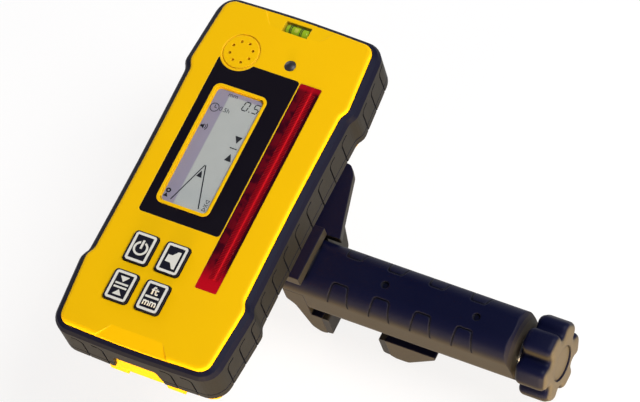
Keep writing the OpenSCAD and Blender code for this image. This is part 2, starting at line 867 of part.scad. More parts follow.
function arch_outline(e) = [
    [-arch_w * 0.62 - e, -arch_h * 1.5, 0.5],
    [arch_w * 0.62 + e, -arch_h * 1.5, 0.5],
    [arch_w * 0.38 + e, arch_h / 2 + e, 1.5],
    [-arch_w * 0.38 - e, arch_h / 2 + e, 1.5],
];

module clamp_body() {
    slot_x = carriage_x + 3 - close_travel - 1;
    color("#16171f") placed() difference() {
        union() {
            intersection() {
                along_x(saddle_x1, neck_end) barrel_section(0);
                barrel_dome();
            }
            intersection() {
                along_x(tongue_x, saddle_x1 + eps) barrel_section(0);
                translate([0, -barrel_w * 2, saddle_top]) cube(barrel_w * 4);
            }
            translate([foot_left, clamp_y - barrel_w / 2, -foot_t - eps])
                cube([foot_right - foot_left, barrel_w, foot_t + eps]);
        }
        along_x(channel_x0, channel_x1) translate([clamp_y, screw_z])
            square(2 * channel_half, center = true);
        translate([slot_x, clamp_y - neck_half - 0.3, barrel_back - over])
            cube([neck_l + close_travel + open_travel + 2, 2 * neck_half + 0.6, over + 12]);
        on_screw(channel_x0 - journal_l, channel_x0 + eps, bush_r);
        on_screw(channel_x1 - eps, neck_end + over, bush_r);
        at_clamp_screws() translate([0, 0, -foot_t - over]) cylinder(h = foot_t + 2 * over, r = 2.7);
        for (x = dimple_xs) translate([x, clamp_y, -foot_t - dimple_depth]) cylinder(h = over, r = dimple_r);
        edge_grooves();
        for (y = [-1, 1]) translate([saddle_x1 - eps, clamp_y + y * jaw_screw_y, jaw_screw_z])
            rotate([0, 90, 0]) cylinder(h = 8, r = jaw_screw_r);
    }
}

module fixed_jaw() {
    side = clamp_y + barrel_w / 2;
    arm = rounded([
        [saddle_x0, saddle_top - 0.1, 0.5],
        [saddle_x0, barrel_z - 5, 3],
        [saddle_x0 + 3.5, barrel_z - 9, 6],
        [saddle_x0 + 8, jaw_tip + 3.5, 4],
        [jaw_x - pad_t - 3, jaw_tip, 3],
        [jaw_x - pad_t, jaw_tip + 1.5, 1],
        [jaw_x - pad_t, barrel_back - 0.2, 0.4],
        [saddle_x1, barrel_back - 0.2, 0.2],
        [saddle_x1, saddle_top - 0.1, 0.5],
    ]);
    color("#16171f") placed() difference() {
        union() {
            along_y(clamp_y - barrel_w / 2, side + 1) polygon(arm);
            along_x(saddle_x0, saddle_x1) polygon(rounded([
                [side + 0.1, jaw_tip + 12, 0.5],
                [side + 10, jaw_tip + 12, 4],
                [side + 14, -foot_t - 8, 3],
                [side + 14, -foot_t - 1, 0.5],
                [side + 0.1, -foot_t - 1, 0.5],
            ]));
            fin();
        }
        for (y = [-1, 1]) translate([saddle_x0 - over, clamp_y + y * jaw_screw_y, jaw_screw_z])
            rotate([0, 90, 0]) {
                cylinder(h = saddle_x1 - saddle_x0 + 2 * over, r = jaw_screw_r + 0.1);
                cylinder(h = over + jaw_head_z, r = jaw_head_r + 0.2);
            }
    }
}

// Wing above the fixed jaw that lines the receiver up with the rod
module fin() {
    side = clamp_y + barrel_w / 2;
    fin_t = 4;
    translate([0, 0, -foot_t - 1 - fin_t]) linear_extrude(fin_t) polygon(rounded([
        [saddle_x0, side + 0.1, 1],
        [saddle_x1 + 7, side + 0.1, 0.5],
        [saddle_x1 + 5, side + 7, 1.5],
        [saddle_x1 - 1, side + fin_h - 4, 5],
        [saddle_x1 - 4, side + fin_h, 3],
        [saddle_x0, side + fin_h, 3],
    ]));
}

module jaw_screws() {
    color("silver") placed() for (y = [-1, 1])
        translate([saddle_x0, clamp_y + y * jaw_screw_y, jaw_screw_z]) rotate([0, 90, 0]) {
            translate([0, 0, jaw_head_z - jaw_head_t]) cylinder(h = jaw_head_t, r = jaw_head_r);
            translate([0, 0, jaw_head_z - eps]) cylinder(h = 13, r = jaw_screw_r);
        }
}

module fixed_jaw_pad() {
    color("#24252c") placed() along_y(clamp_y - barrel_w / 2, clamp_y + barrel_w / 2)
        polygon(rounded([
            [jaw_x - pad_t, barrel_back - 0.6, 0.3],
            [jaw_x - pad_t, jaw_tip + 1.9, 0.3],
            [jaw_x, jaw_tip + 2.5, 1.5],
            [jaw_x, barrel_back - 0.6, 1],
        ]));
}

module moving_jaw() {
    arm = rounded([
        [moving_x + pad_t, barrel_back - 0.5, 0.5],
        [moving_x + pad_t, jaw_tip + 1.5, 1],
        [moving_x + pad_t + 2.5, jaw_tip, 2],
        [moving_x + jaw_l * 0.42, jaw_tip, 4],
        [moving_x + jaw_l, barrel_back - 2.5, 3],
        [moving_x + jaw_l, barrel_back - 0.5, 0.6],
    ]);
    color("#16171f") placed() difference() {
        union() {
            along_y(clamp_y - barrel_w / 2, clamp_y + barrel_w / 2) polygon(arm);
            along_x(carriage_x, carriage_x + carriage_l) translate([clamp_y, screw_z])
                square(2 * carriage_half, center = true);
            translate([carriage_x + 3, clamp_y - neck_half, barrel_back - 1])
                cube([neck_l, 2 * neck_half, 6]);
        }
        on_screw(carriage_x - over, carriage_x + carriage_l + over, screw_d / 2 + 0.5);
        on_screw(carriage_x + 3, carriage_x + carriage_l + over, screw_d / 2 + 2);
    }
}

module moving_jaw_pad() {
    color("#24252c") placed() along_y(clamp_y - barrel_w / 2, clamp_y + barrel_w / 2)
        polygon(rounded([
            [moving_x, barrel_back - 0.6, 1],
            [moving_x, jaw_tip + 2.5, 1.5],
            [moving_x + pad_t, jaw_tip + 1.9, 0.3],
            [moving_x + pad_t, barrel_back - 0.6, 0.3],
        ]));
}

module jaw_nut() {
    color("goldenrod") placed() difference() {
        on_screw(carriage_x + 3, carriage_x + carriage_l, screw_d / 2 + 2);
        on_screw(carriage_x, carriage_x + carriage_l + over, screw_d / 2 + run_fit);
    }
}

module lead_screw() {
    color("silver") placed() difference() {
        union() {
            on_screw(channel_x0 - journal_l + 1, channel_x0 + 0.5, journal_r);
            on_screw(channel_x0 + 0.5 - eps, knob_x + knob_t * 0.6, screw_d / 2);
        }
        translate([pin_x, clamp_y, screw_z]) cylinder(h = 4 * hub_r, r = pin_r, center = true);
    }
}

module end_bush() {
    color("peru") placed() difference() {
        on_screw(channel_x0 - journal_l, channel_x0, bush_r);
        on_screw(channel_x0 - journal_l + 0.8, channel_x0 + over, journal_r + run_fit);
    }
}

module knob_bush() {
    color("peru") placed() difference() {
        on_screw(channel_x1, neck_end, bush_r);
        on_screw(channel_x1 - over, neck_end + over, screw_d / 2 + run_fit);
    }
}

module thrust_washer() {
    color("silver") placed() difference() {
        on_screw(neck_end + 0.05, neck_end + washer_t, neck_r - 1);
        on_screw(neck_end - over, neck_end + washer_t + over, screw_d / 2);
    }
}

module retaining_ring() {
    color("silver") placed() difference() {
        on_screw(channel_x1 - 1, channel_x1 - 0.1, screw_d / 2 + 1.8);
        on_screw(channel_x1 - over, channel_x1 + over, screw_d / 2);
    }
}

// Lobed outline of the knob, grown outwards by e
function star(e) = rounded([
    for (i = [0 : knob_lobes - 1]) for (p = [[-1, 1], [0, 0], [1, 1]])
        let (
            a = (i + 0.5) * 360 / knob_lobes + (p[1] == 1 ? 0 : 180 / knob_lobes),
            lobe_half = knob_r * 0.32 + e,
            valley = knob_r * 0.63 + e
        )
        p[1] == 0
            ? [valley * cos(a - 360 / knob_lobes), valley * sin(a - 360 / knob_lobes), 3]
            : [
                (knob_r + e) * cos(a) - p[0] * lobe_half * sin(a),
                (knob_r + e) * sin(a) + p[0] * lobe_half * cos(a),
                3,
            ]
], 4);

// Round form that takes the sharp edges off the knob's lobes
module knob_rim() {
    round = 3.2;
    reach = norm([knob_r, knob_r * 0.32]);
    translate([knob_x, clamp_y, screw_z]) rotate([0, 90, 0]) rotate_extrude() polygon(rounded([
        [0, 0, 0.01, 1],
        [reach, 0, round, 6],
        [reach, knob_t, round, 6],
        [0, knob_t, 0.01, 1],
    ]));
}

module star_knob() {
    color("#16171f") placed() difference() {
        union() {
            intersection() {
                translate([knob_x, clamp_y, screw_z]) rotate([90, 0, 90]) linear_extrude(knob_t)
                    polygon(star(0));
                knob_rim();
            }
            on_screw(neck_end + washer_t, knob_x + 1, hub_r);
        }
        on_screw(neck_end, knob_x + knob_t * 0.6, screw_d / 2);
        on_screw(knob_end - cap_t, knob_end + over, cap_r);
        translate([pin_x, clamp_y, screw_z]) cylinder(h = 2 * knob_r + 2 * over, r = pin_r, center = true);
    }
}

module knob_pin() {
    color("silver") placed() translate([pin_x, clamp_y, screw_z])
        cylinder(h = 2 * hub_r - 2, r = pin_r, center = true);
}

module knob_cap() {
    color("#22232b") placed() on_screw(knob_end - cap_t, knob_end - 0.8, cap_r - 0.1);
}

front_shell();
rear_shell();
front_bumper();
rear_bumper();
display_label();
display_frame();
display_window();
lcd_panel();
receiver_window();
photodiode_board();
photodiodes();
main_board();
board_screws();
buzzer();
strobe_sensor_lens();
level_vial();
vial_fluid();
power_button();
volume_button();
accuracy_button();
units_button();
key_switches();
battery_door();
door_hinge_pin();
batteries();
battery_contacts();
shell_screws();
clamp_inserts();
clamp_body();
clamp_screws();
fixed_jaw();
fixed_jaw_pad();
jaw_screws();
moving_jaw();
moving_jaw_pad();
jaw_nut();
lead_screw();
end_bush();
knob_bush();
thrust_washer();
retaining_ring();
star_knob();
knob_pin();
knob_cap();
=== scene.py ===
import math
import bpy
from mathutils import Matrix, Vector


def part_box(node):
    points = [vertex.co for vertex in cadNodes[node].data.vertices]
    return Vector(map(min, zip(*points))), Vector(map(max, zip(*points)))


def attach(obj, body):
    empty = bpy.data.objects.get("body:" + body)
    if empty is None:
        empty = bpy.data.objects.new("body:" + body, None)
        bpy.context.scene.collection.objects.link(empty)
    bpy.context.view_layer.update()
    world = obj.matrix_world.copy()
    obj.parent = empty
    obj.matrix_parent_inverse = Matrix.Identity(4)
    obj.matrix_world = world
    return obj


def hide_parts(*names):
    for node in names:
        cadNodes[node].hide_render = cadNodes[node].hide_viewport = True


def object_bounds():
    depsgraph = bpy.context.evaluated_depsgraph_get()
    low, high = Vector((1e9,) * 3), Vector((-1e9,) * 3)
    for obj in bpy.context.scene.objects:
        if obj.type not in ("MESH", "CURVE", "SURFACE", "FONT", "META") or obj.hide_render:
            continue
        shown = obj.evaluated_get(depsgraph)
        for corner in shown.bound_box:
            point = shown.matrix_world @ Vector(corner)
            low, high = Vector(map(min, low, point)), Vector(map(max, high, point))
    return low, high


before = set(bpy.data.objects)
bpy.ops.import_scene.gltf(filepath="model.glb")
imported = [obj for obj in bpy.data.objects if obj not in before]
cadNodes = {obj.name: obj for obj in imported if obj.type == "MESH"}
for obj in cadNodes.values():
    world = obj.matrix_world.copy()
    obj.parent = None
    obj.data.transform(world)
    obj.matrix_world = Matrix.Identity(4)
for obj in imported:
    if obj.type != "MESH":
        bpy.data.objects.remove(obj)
cadBox = [list(corner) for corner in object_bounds()]
scene = bpy.context.scene
scene.view_settings.view_transform = "Standard"
print("frame loaded:", len(cadNodes), "nodes")

# the housing's own axes: x to the knob, y to the vial, z out of the display, zero on the middle of its back
housingMiddle = Vector((-45, 2.5, 41.5))


def at(x, y, z):
    return (Vector((x, y, z)) + housingMiddle) / 1000


def hexColour(code):
    parts = [int(code[i:i + 2], 16) / 255 for i in (0, 2, 4)]
    return tuple(c / 12.92 if c <= 0.04045 else ((c + 0.055) / 1.055) ** 2.4 for c in parts) + (1,)


def addNode(tree, kind, settings=None, values=None, links=None):
    node = tree.nodes.new(kind)
    for name, value in (settings or {}).items():
        setattr(node, name, value)
    for socket, value in (values or {}).items():
        node.inputs[socket].default_value = value
    for socket, source in (links or {}).items():
        tree.links.new(source, node.inputs[socket])
    return node


def newMaterial(name, values):
    material = bpy.data.materials.new(name)
    material.use_nodes = True
    shader = material.node_tree.nodes["Principled BSDF"]
    for socket, value in values.items():
        shader.inputs[socket].default_value = value
    finishes[name] = material
    return material.node_tree, shader


finishes = {}
# settings that many nodes share; a colour mix takes its share at socket 0 and its colours at 6 and 7,
# and gives its result at output 2
colourMix = {"data_type": "RGBA"}
softStep = {"interpolation_type": "SMOOTHSTEP"}

# moulded plastics and rubber: a fine grain from the mould, edges a little rounded, rubbed and painted lighter
# as a highlight
mouldedFinishes = {
    # moulded ABS with a matte mould grain: an even warm yellow, a soft sheen, edges that catch the light
    "mouldedYellowAbs": {
        "colour": "F4C000", "second": "EEB800", "edge": "F7CD2E", "roughness": (0.46, 0.58),
        "grainMm": 0.55, "grainDepth": 0.10, "edgeMm": 0.45, "gloss": 0.08},
    # soft moulded rubber: near black with a blue cast, dull, with painted light making its sides browner and
    # painted shade making its grooves darkest
    "mouldedBlackRubber": {
        "colour": "080A22", "second": "0D0F24", "edge": "24242E", "side": "25231F", "groove": "020308",
        "grooveMm": 2.2, "roughness": (0.48, 0.62), "grainMm": 0.7, "grainDepth": 0.22, "edgeMm": 0.35,
        "gloss": 0.09},
    # glass filled nylon: harder than the rubber, the same dark blue black, with the same painted side light
    # and painted groove shade
    "glassFilledNylon": {
        "colour": "060924", "second": "0B0E28", "edge": "20212E", "side": "38342D", "groove": "020308",
        "grooveMm": 2.2, "roughness": (0.42, 0.56), "grainMm": 0.8, "grainDepth": 0.2, "edgeMm": 0.8,
        "gloss": 0.09},
    # the knob in the same nylon: painted light makes its flat outer face browner and lighter than the lobes,
    # with the same painted side light and groove shade
    "litFaceKnobNylon": {
        "colour": "060924", "second": "0B0E28", "edge": "20212E", "side": "38342D", "groove": "020308",
        "grooveMm": 2.2, "face": "5C5548", "roughness": (0.42, 0.56), "grainMm": 0.8, "grainDepth": 0.2,
        "edgeMm": 0.8, "gloss": 0.09},
    # rubber jaw pads: dull charcoal
    "jawPadRubber": {
        "colour": "1C1D22", "second": "24252A", "edge": "3A3A40", "roughness": (0.62, 0.78),
        "grainMm": 0.6, "grainDepth": 0.3, "edgeMm": 0.3, "gloss": 0.3},
    # keys moulded in dark ABS with a satin top
    "keyBlackAbs": {
        "colour": "15151F", "second": "1A1A26", "edge": "26252E", "roughness": (0.38, 0.48),
        "grainMm": 0.4, "grainDepth": 0.06, "edgeMm": 0.3, "gloss": 0.12},
    # printed polycarbonate film of the display label: smooth, brown black
    "printedLabelFilm": {
        "colour": "0E0A12", "second": "120E14", "edge": "201B20", "roughness": (0.30, 0.38),
        "grainMm": 0.5, "grainDepth": 0.03, "edgeMm": 0.12, "gloss": 0.2},
    # dark moulded nylon of the small black parts inside
    "darkInnerPlastic": {
        "colour": "202024", "second": "26262A", "edge": "36363A", "roughness": (0.4, 0.5),
        "grainMm": 0.5, "grainDepth": 0.08, "edgeMm": 0.15, "gloss": 0.45},
    # solder masked board: deep green with a slight gloss
    "boardGreen": {
        "colour": "0F4A24", "second": "12562A", "edge": "2C6E40", "roughness": (0.3, 0.42),
        "grainMm": 1.2, "grainDepth": 0.05, "edgeMm": 0.1, "gloss": 0.5},
}
# how far the surface turns, faces sideways, faces outward and closes in before each shows: the rubbing and
# painted highlight of an edge, the painted light of a side and of the knob's face, and the painted shade of a
# groove
mouldedWear = {"driftMm": 28, "bumpMm": 0.2, "rubbedEdgeAndSheen": (0.995, 0.86), "rubbedMost": 0.75,
               "sideways": (0.62, 0.05), "outward": (0.6, 0.95), "closedIn": (0.55, 0.92)}
for name, look in mouldedFinishes.items():
    tree, shader = newMaterial(name, {"Specular IOR Level": look["gloss"]})
    place = addNode(tree, "ShaderNodeTexCoord")
    grain = addNode(tree, "ShaderNodeTexNoise", values={"Scale": 1000 / look["grainMm"], "Detail": 3.0},
                    links={"Vector": place.outputs["Object"]})
    drift = addNode(tree, "ShaderNodeTexNoise",
                    values={"Scale": 1000 / mouldedWear["driftMm"], "Detail": 2.0},
                    links={"Vector": place.outputs["Object"]})
    softEdge = addNode(tree, "ShaderNodeBevel", {"samples": 6}, {"Radius": look["edgeMm"] / 1000})
    trueNormal = addNode(tree, "ShaderNodeNewGeometry").outputs["Normal"]
    turned = addNode(tree, "ShaderNodeVectorMath", {"operation": "DOT_PRODUCT"},
                     links={0: softEdge.outputs["Normal"], 1: trueNormal})
    # edge wear and painted highlight: inner and outer edges alike are painted towards the lighter edge colour
    rubbedEdgeAndSheen = addNode(tree, "ShaderNodeMapRange",
                     values={"From Min": mouldedWear["rubbedEdgeAndSheen"][0], "From Max": mouldedWear["rubbedEdgeAndSheen"][1],
                             "To Min": 0.0, "To Max": mouldedWear["rubbedMost"]},
                     links={"Value": turned.outputs["Value"]})
    body = addNode(tree, "ShaderNodeMix", colourMix,
                   {6: hexColour(look["colour"]), 7: hexColour(look["second"])}, {0: drift.outputs["Fac"]})
    facing = addNode(tree, "ShaderNodeSeparateXYZ", links={"Vector": place.outputs["Normal"]})
    if "side" in look:
        # painted light: the sides of the black mouldings are painted browner and lighter than their tops,
        # standing in for the warm light the floor throws on them
        paintedSideLight = addNode(tree, "ShaderNodeMapRange", softStep,
                        {"From Min": mouldedWear["sideways"][0], "From Max": mouldedWear["sideways"][1]},
                        {"Value": facing.outputs["Z"]})
        body = addNode(tree, "ShaderNodeMix", colourMix, {7: hexColour(look["side"])},
                       {0: paintedSideLight.outputs["Result"], 6: body.outputs[2]})
    if "face" in look:
        # painted light: the face looking along +X, the knob's outer end, is painted lighter and browner
        paintedFaceLight = addNode(tree, "ShaderNodeMapRange", softStep,
                          {"From Min": mouldedWear["outward"][0], "From Max": mouldedWear["outward"][1]},
                          {"Value": facing.outputs["X"]})
        body = addNode(tree, "ShaderNodeMix", colourMix, {7: hexColour(look["face"])},
                       {0: paintedFaceLight.outputs["Result"], 6: body.outputs[2]})
    if "groove" in look:
        # painted shade: grooves and other closed-in places are painted darker where ambient occlusion finds
        # them
        hollow = addNode(tree, "ShaderNodeAmbientOcclusion", {"samples": 8, "only_local": True},
                         {"Distance": look["grooveMm"] / 1000})
        opened = addNode(tree, "ShaderNodeMapRange", softStep,
                         {"From Min": mouldedWear["closedIn"][0], "From Max": mouldedWear["closedIn"][1]},
                         {"Value": hollow.outputs["AO"]})
        body = addNode(tree, "ShaderNodeMix", colourMix, {6: hexColour(look["groove"])},
                       {0: opened.outputs["Result"], 7: body.outputs[2]})
    edgeWearAndSheen = addNode(tree, "ShaderNodeMix", colourMix, {7: hexColour(look["edge"])},
                   {0: rubbedEdgeAndSheen.outputs["Result"], 6: body.outputs[2]})
    rough = addNode(tree, "ShaderNodeMapRange",
                    values={"To Min": look["roughness"][0], "To Max": look["roughness"][1]},
                    links={"Value": drift.outputs["Fac"]})
    bump = addNode(tree, "ShaderNodeBump",
                   values={"Strength": look["grainDepth"], "Distance": mouldedWear["bumpMm"] / 1000},
                   links={"Height": grain.outputs["Fac"], "Normal": softEdge.outputs["Normal"]})
    tree.links.new(edgeWearAndSheen.outputs[2], shader.inputs["Base Color"])
    tree.links.new(rough.outputs["Result"], shader.inputs["Roughness"])
    tree.links.new(bump.outputs["Normal"], shader.inputs["Normal"])
print("moulded finishes made:", len(finishes))

# metals: fine turning marks round the screw's axis show as a streaked gloss
metalFinishes = {
    # zinc plated steel: cool grey, bright, faint streaks
    "zincPlatedSteel": {"colour": "B9BCC0", "second": "9FA3A8", "roughness": (0.22, 0.36), "streakMm": 0.5},
    # turned brass: warm, a little dull
    "turnedBrass": {"colour": "C9A24C", "second": "B08A3A", "roughness": (0.24, 0.38), "streakMm": 0.4},
    # oil filled bronze of the bushes: brown and matte
    "sinteredBronze": {"colour": "8A6238", "second": "6F4C2A", "roughness": (0.45, 0.6), "streakMm": 0.8},
    # printed steel jacket of a cell: dark grey, satin
    "cellJacket": {"colour": "3A3D44", "second": "50535A", "roughness": (0.3, 0.4), "streakMm": 6.0},
}
metalMarks = {"stretch": (1.0, 0.12, 0.12), "edgeMm": 0.15, "depth": 0.08, "depthMm": 0.1}
for name, look in metalFinishes.items():
    tree, shader = newMaterial(name, {"Metallic": 1.0})
    place = addNode(tree, "ShaderNodeTexCoord").outputs["Object"]
    stretched = addNode(tree, "ShaderNodeMapping", values={"Scale": metalMarks["stretch"]},
                        links={"Vector": place})
    streak = addNode(tree, "ShaderNodeTexNoise", values={"Scale": 1000 / look["streakMm"], "Detail": 4.0},
                     links={"Vector": stretched.outputs["Vector"]})
    tint = addNode(tree, "ShaderNodeMix", colourMix,
                   {6: hexColour(look["colour"]), 7: hexColour(look["second"])}, {0: streak.outputs["Fac"]})
    rough = addNode(tree, "ShaderNodeMapRange",
                    values={"To Min": look["roughness"][0], "To Max": look["roughness"][1]},
                    links={"Value": streak.outputs["Fac"]})
    softEdge = addNode(tree, "ShaderNodeBevel", {"samples": 4}, {"Radius": metalMarks["edgeMm"] / 1000})
    bump = addNode(tree, "ShaderNodeBump",
                   values={"Strength": metalMarks["depth"], "Distance": metalMarks["depthMm"] / 1000},
                   links={"Height": streak.outputs["Fac"], "Normal": softEdge.outputs["Normal"]})
    tree.links.new(tint.outputs[2], shader.inputs["Base Color"])
    tree.links.new(rough.outputs["Result"], shader.inputs["Roughness"])
    tree.links.new(bump.outputs["Normal"], shader.inputs["Normal"])

# red filter acrylic: deep red, purple clouds on its smooth side, a painted highlight as a bright line along
# its ridge, plain ends
redWindow = {
    "left": 13.2, "right": 23.2, "bottom": -41.6, "top": 52.0, "ends": "B40C1B", "cloud": "1E0513",
    # painted highlight: the bright stops from 0.56 to 0.70 across are the ridge's highlight
    "across": [(0.0, "2A0716"), (0.06, "590A15"), (0.34, "680B16"), (0.38, "4C0811"), (0.56, "860C18"),
               (0.64, "C81420"), (0.70, "860C18"), (0.84, "500812"), (0.90, "3A060F"), (1.0, "240512")],
    "cloudMm": 5, "clouds": (0.45, 0.62), "cloudMost": 0.75, "smoothSide": (0.34, 0.44), "ribbedShare": 0.3,
    "lowFade": (9, -3), "highFade": (-1, 1), "highMost": 0.6}
tree, shader = newMaterial("redFilterAcrylic", {
    "Roughness": 0.2, "IOR": 1.49, "Specular IOR Level": 0.1, "Coat Weight": 0.03, "Coat Roughness": 0.08})
place = addNode(tree, "ShaderNodeTexCoord").outputs["Object"]
split = addNode(tree, "ShaderNodeSeparateXYZ", links={"Vector": place})
leftX, rightX = at(redWindow["left"], 0, 0).x, at(redWindow["right"], 0, 0).x
across = addNode(tree, "ShaderNodeMapRange", values={"From Min": leftX, "From Max": rightX},
                 links={"Value": split.outputs["X"]})
ramp = addNode(tree, "ShaderNodeValToRGB", links={"Fac": across.outputs["Result"]})
stops = ramp.color_ramp.elements
stops.remove(stops[-1])
stops[0].position = redWindow["across"][0][0]
stops[0].color = hexColour(redWindow["across"][0][1])
for position, colour in redWindow["across"][1:]:
    stops.new(position).color = hexColour(colour)
blotch = addNode(tree, "ShaderNodeTexNoise", values={"Scale": 1000 / redWindow["cloudMm"], "Detail": 3.0},
                 links={"Vector": place})
cloudy = addNode(tree, "ShaderNodeMapRange", softStep,
                 {"From Min": redWindow["clouds"][0], "From Max": redWindow["clouds"][1],
                  "To Min": 0.0, "To Max": redWindow["cloudMost"]}, {"Value": blotch.outputs["Fac"]})
smoothSide = addNode(tree, "ShaderNodeMapRange", softStep,
                     {"From Min": redWindow["smoothSide"][0], "From Max": redWindow["smoothSide"][1],
                      "To Min": 1.0, "To Max": redWindow["ribbedShare"]}, {"Value": across.outputs["Result"]})
clouds = addNode(tree, "ShaderNodeMath", {"operation": "MULTIPLY"},
                 links={0: cloudy.outputs["Result"], 1: smoothSide.outputs["Result"]})
clouded = addNode(tree, "ShaderNodeMix", colourMix, {7: hexColour(redWindow["cloud"])},
                  {0: clouds.outputs["Value"], 6: ramp.outputs["Color"]})
lowFrom, lowTo = [at(0, redWindow["bottom"] + shift, 0).y for shift in redWindow["lowFade"]]
lowEnd = addNode(tree, "ShaderNodeMapRange", softStep, {"From Min": lowFrom, "From Max": lowTo},
                 {"Value": split.outputs["Y"]})
highFrom, highTo = [at(0, redWindow["top"] + shift, 0).y for shift in redWindow["highFade"]]
highEnd = addNode(tree, "ShaderNodeMapRange", softStep,
                  {"From Min": highFrom, "From Max": highTo, "To Max": redWindow["highMost"]},
                  {"Value": split.outputs["Y"]})
ends = addNode(tree, "ShaderNodeMath", {"operation": "MAXIMUM"},
               links={0: lowEnd.outputs["Result"], 1: highEnd.outputs["Result"]})
red = addNode(tree, "ShaderNodeMix", colourMix, {7: hexColour(redWindow["ends"])},
              {0: ends.outputs["Value"], 6: clouded.outputs[2]})
tree.links.new(red.outputs[2], shader.inputs["Base Color"])

# ribs of the same acrylic: brighter, because light leaves at their edges, with a painted highlight brightest
# on the long ridge
ribLook = {"dim": "7C0B17", "lit": "AE101E", "cloudMm": 5, "ridge": "C8161F", "ridgeX": 19.6,
           "glowMm": (1.3, 0.1)}
tree, shader = newMaterial("redRibAcrylic", {"Roughness": 0.16, "IOR": 1.49, "Specular IOR Level": 0.12})
place = addNode(tree, "ShaderNodeTexCoord").outputs["Object"]
blotch = addNode(tree, "ShaderNodeTexNoise", values={"Scale": 1000 / ribLook["cloudMm"], "Detail": 2.0},
                 links={"Vector": place})
body = addNode(tree, "ShaderNodeMix", colourMix, {6: hexColour(ribLook["dim"]), 7: hexColour(ribLook["lit"])},
               {0: blotch.outputs["Fac"]})
split = addNode(tree, "ShaderNodeSeparateXYZ", links={"Vector": place})
aside = addNode(tree, "ShaderNodeMath", {"operation": "SUBTRACT"}, {1: at(ribLook["ridgeX"], 0, 0).x},
                {0: split.outputs["X"]})
aside = addNode(tree, "ShaderNodeMath", {"operation": "ABSOLUTE"}, links={0: aside.outputs["Value"]})
# painted highlight: a bright line along the ridge
ridgeHighlight = addNode(tree, "ShaderNodeMapRange", softStep,
               {"From Min": ribLook["glowMm"][0] / 1000, "From Max": ribLook["glowMm"][1] / 1000},
               {"Value": aside.outputs["Value"]})
red = addNode(tree, "ShaderNodeMix", colourMix, {7: hexColour(ribLook["ridge"])},
              {0: ridgeHighlight.outputs["Result"], 6: body.outputs[2]})
tree.links.new(red.outputs[2], shader.inputs["Base Color"])

# clear plastics, nearly all see-through with a thin gloss that finger smears break up
clearFinishes = {
    # polycarbonate over the display: neutral
    "clearPolycarbonate": {"colour": "5A5E60", "ior": 1.58, "alpha": 0.04, "smearMm": 9,
                           "roughness": (0.04, 0.12)},
    # acrylic tube of the level vial: takes a little of the liquid's green
    "vialAcrylic": {"colour": "9CB84A", "ior": 1.49, "alpha": 0.07, "smearMm": 4, "roughness": (0.03, 0.1)},
}
for name, look in clearFinishes.items():
    tree, shader = newMaterial(name, {"Base Color": hexColour(look["colour"]), "IOR": look["ior"],
                                      "Alpha": look["alpha"]})
    place = addNode(tree, "ShaderNodeTexCoord").outputs["Object"]
    smear = addNode(tree, "ShaderNodeTexNoise", values={"Scale": 1000 / look["smearMm"], "Detail": 2.0},
                    links={"Vector": place})
    rough = addNode(tree, "ShaderNodeMapRange",
                    values={"To Min": look["roughness"][0], "To Max": look["roughness"][1]},
                    links={"Value": smear.outputs["Fac"]})
    tree.links.new(rough.outputs["Result"], shader.inputs["Roughness"])

# liquid crystal panel: a flat green grey, with a painted shadow of the frame, darker and violet, along its
# left and upper margins
crystalPanel = {"grey": ("B4B8B2", "BCC0BA"), "frameShadow": ("968F9F", "9D97A6"), "left": -13.5, "top": 39.0,
                "softMm": 1.0, "cloudMm": 3}
tree, shader = newMaterial("liquidCrystalPanel", {"Roughness": 0.4, "Specular IOR Level": 0.3})
place = addNode(tree, "ShaderNodeTexCoord").outputs["Object"]
cloud = addNode(tree, "ShaderNodeTexNoise", values={"Scale": 1000 / crystalPanel["cloudMm"], "Detail": 3.0},
                links={"Vector": place})
grey, frameShadowTint = [addNode(tree, "ShaderNodeMix", colourMix, {6: hexColour(first), 7: hexColour(second)},
                        {0: cloud.outputs["Fac"]})
                for first, second in (crystalPanel["grey"], crystalPanel["frameShadow"])]
split = addNode(tree, "ShaderNodeSeparateXYZ", links={"Vector": place})
inner = at(crystalPanel["left"], crystalPanel["top"], 0)
blur = crystalPanel["softMm"] / 2000
# painted shadow: the frame's shadow on the panel's left and upper margins
leftward = addNode(tree, "ShaderNodeMapRange", softStep,
                   {"From Min": inner.x + blur, "From Max": inner.x - blur}, {"Value": split.outputs["X"]})
upward = addNode(tree, "ShaderNodeMapRange", softStep,
                 {"From Min": inner.y - blur, "From Max": inner.y + blur}, {"Value": split.outputs["Y"]})
frameShadow = addNode(tree, "ShaderNodeMath", {"operation": "MAXIMUM"},
                 links={0: leftward.outputs["Result"], 1: upward.outputs["Result"]})
tone = addNode(tree, "ShaderNodeMix", colourMix,
               links={0: frameShadow.outputs["Value"], 6: grey.outputs[2], 7: frameShadowTint.outputs[2]})
tree.links.new(tone.outputs[2], shader.inputs["Base Color"])

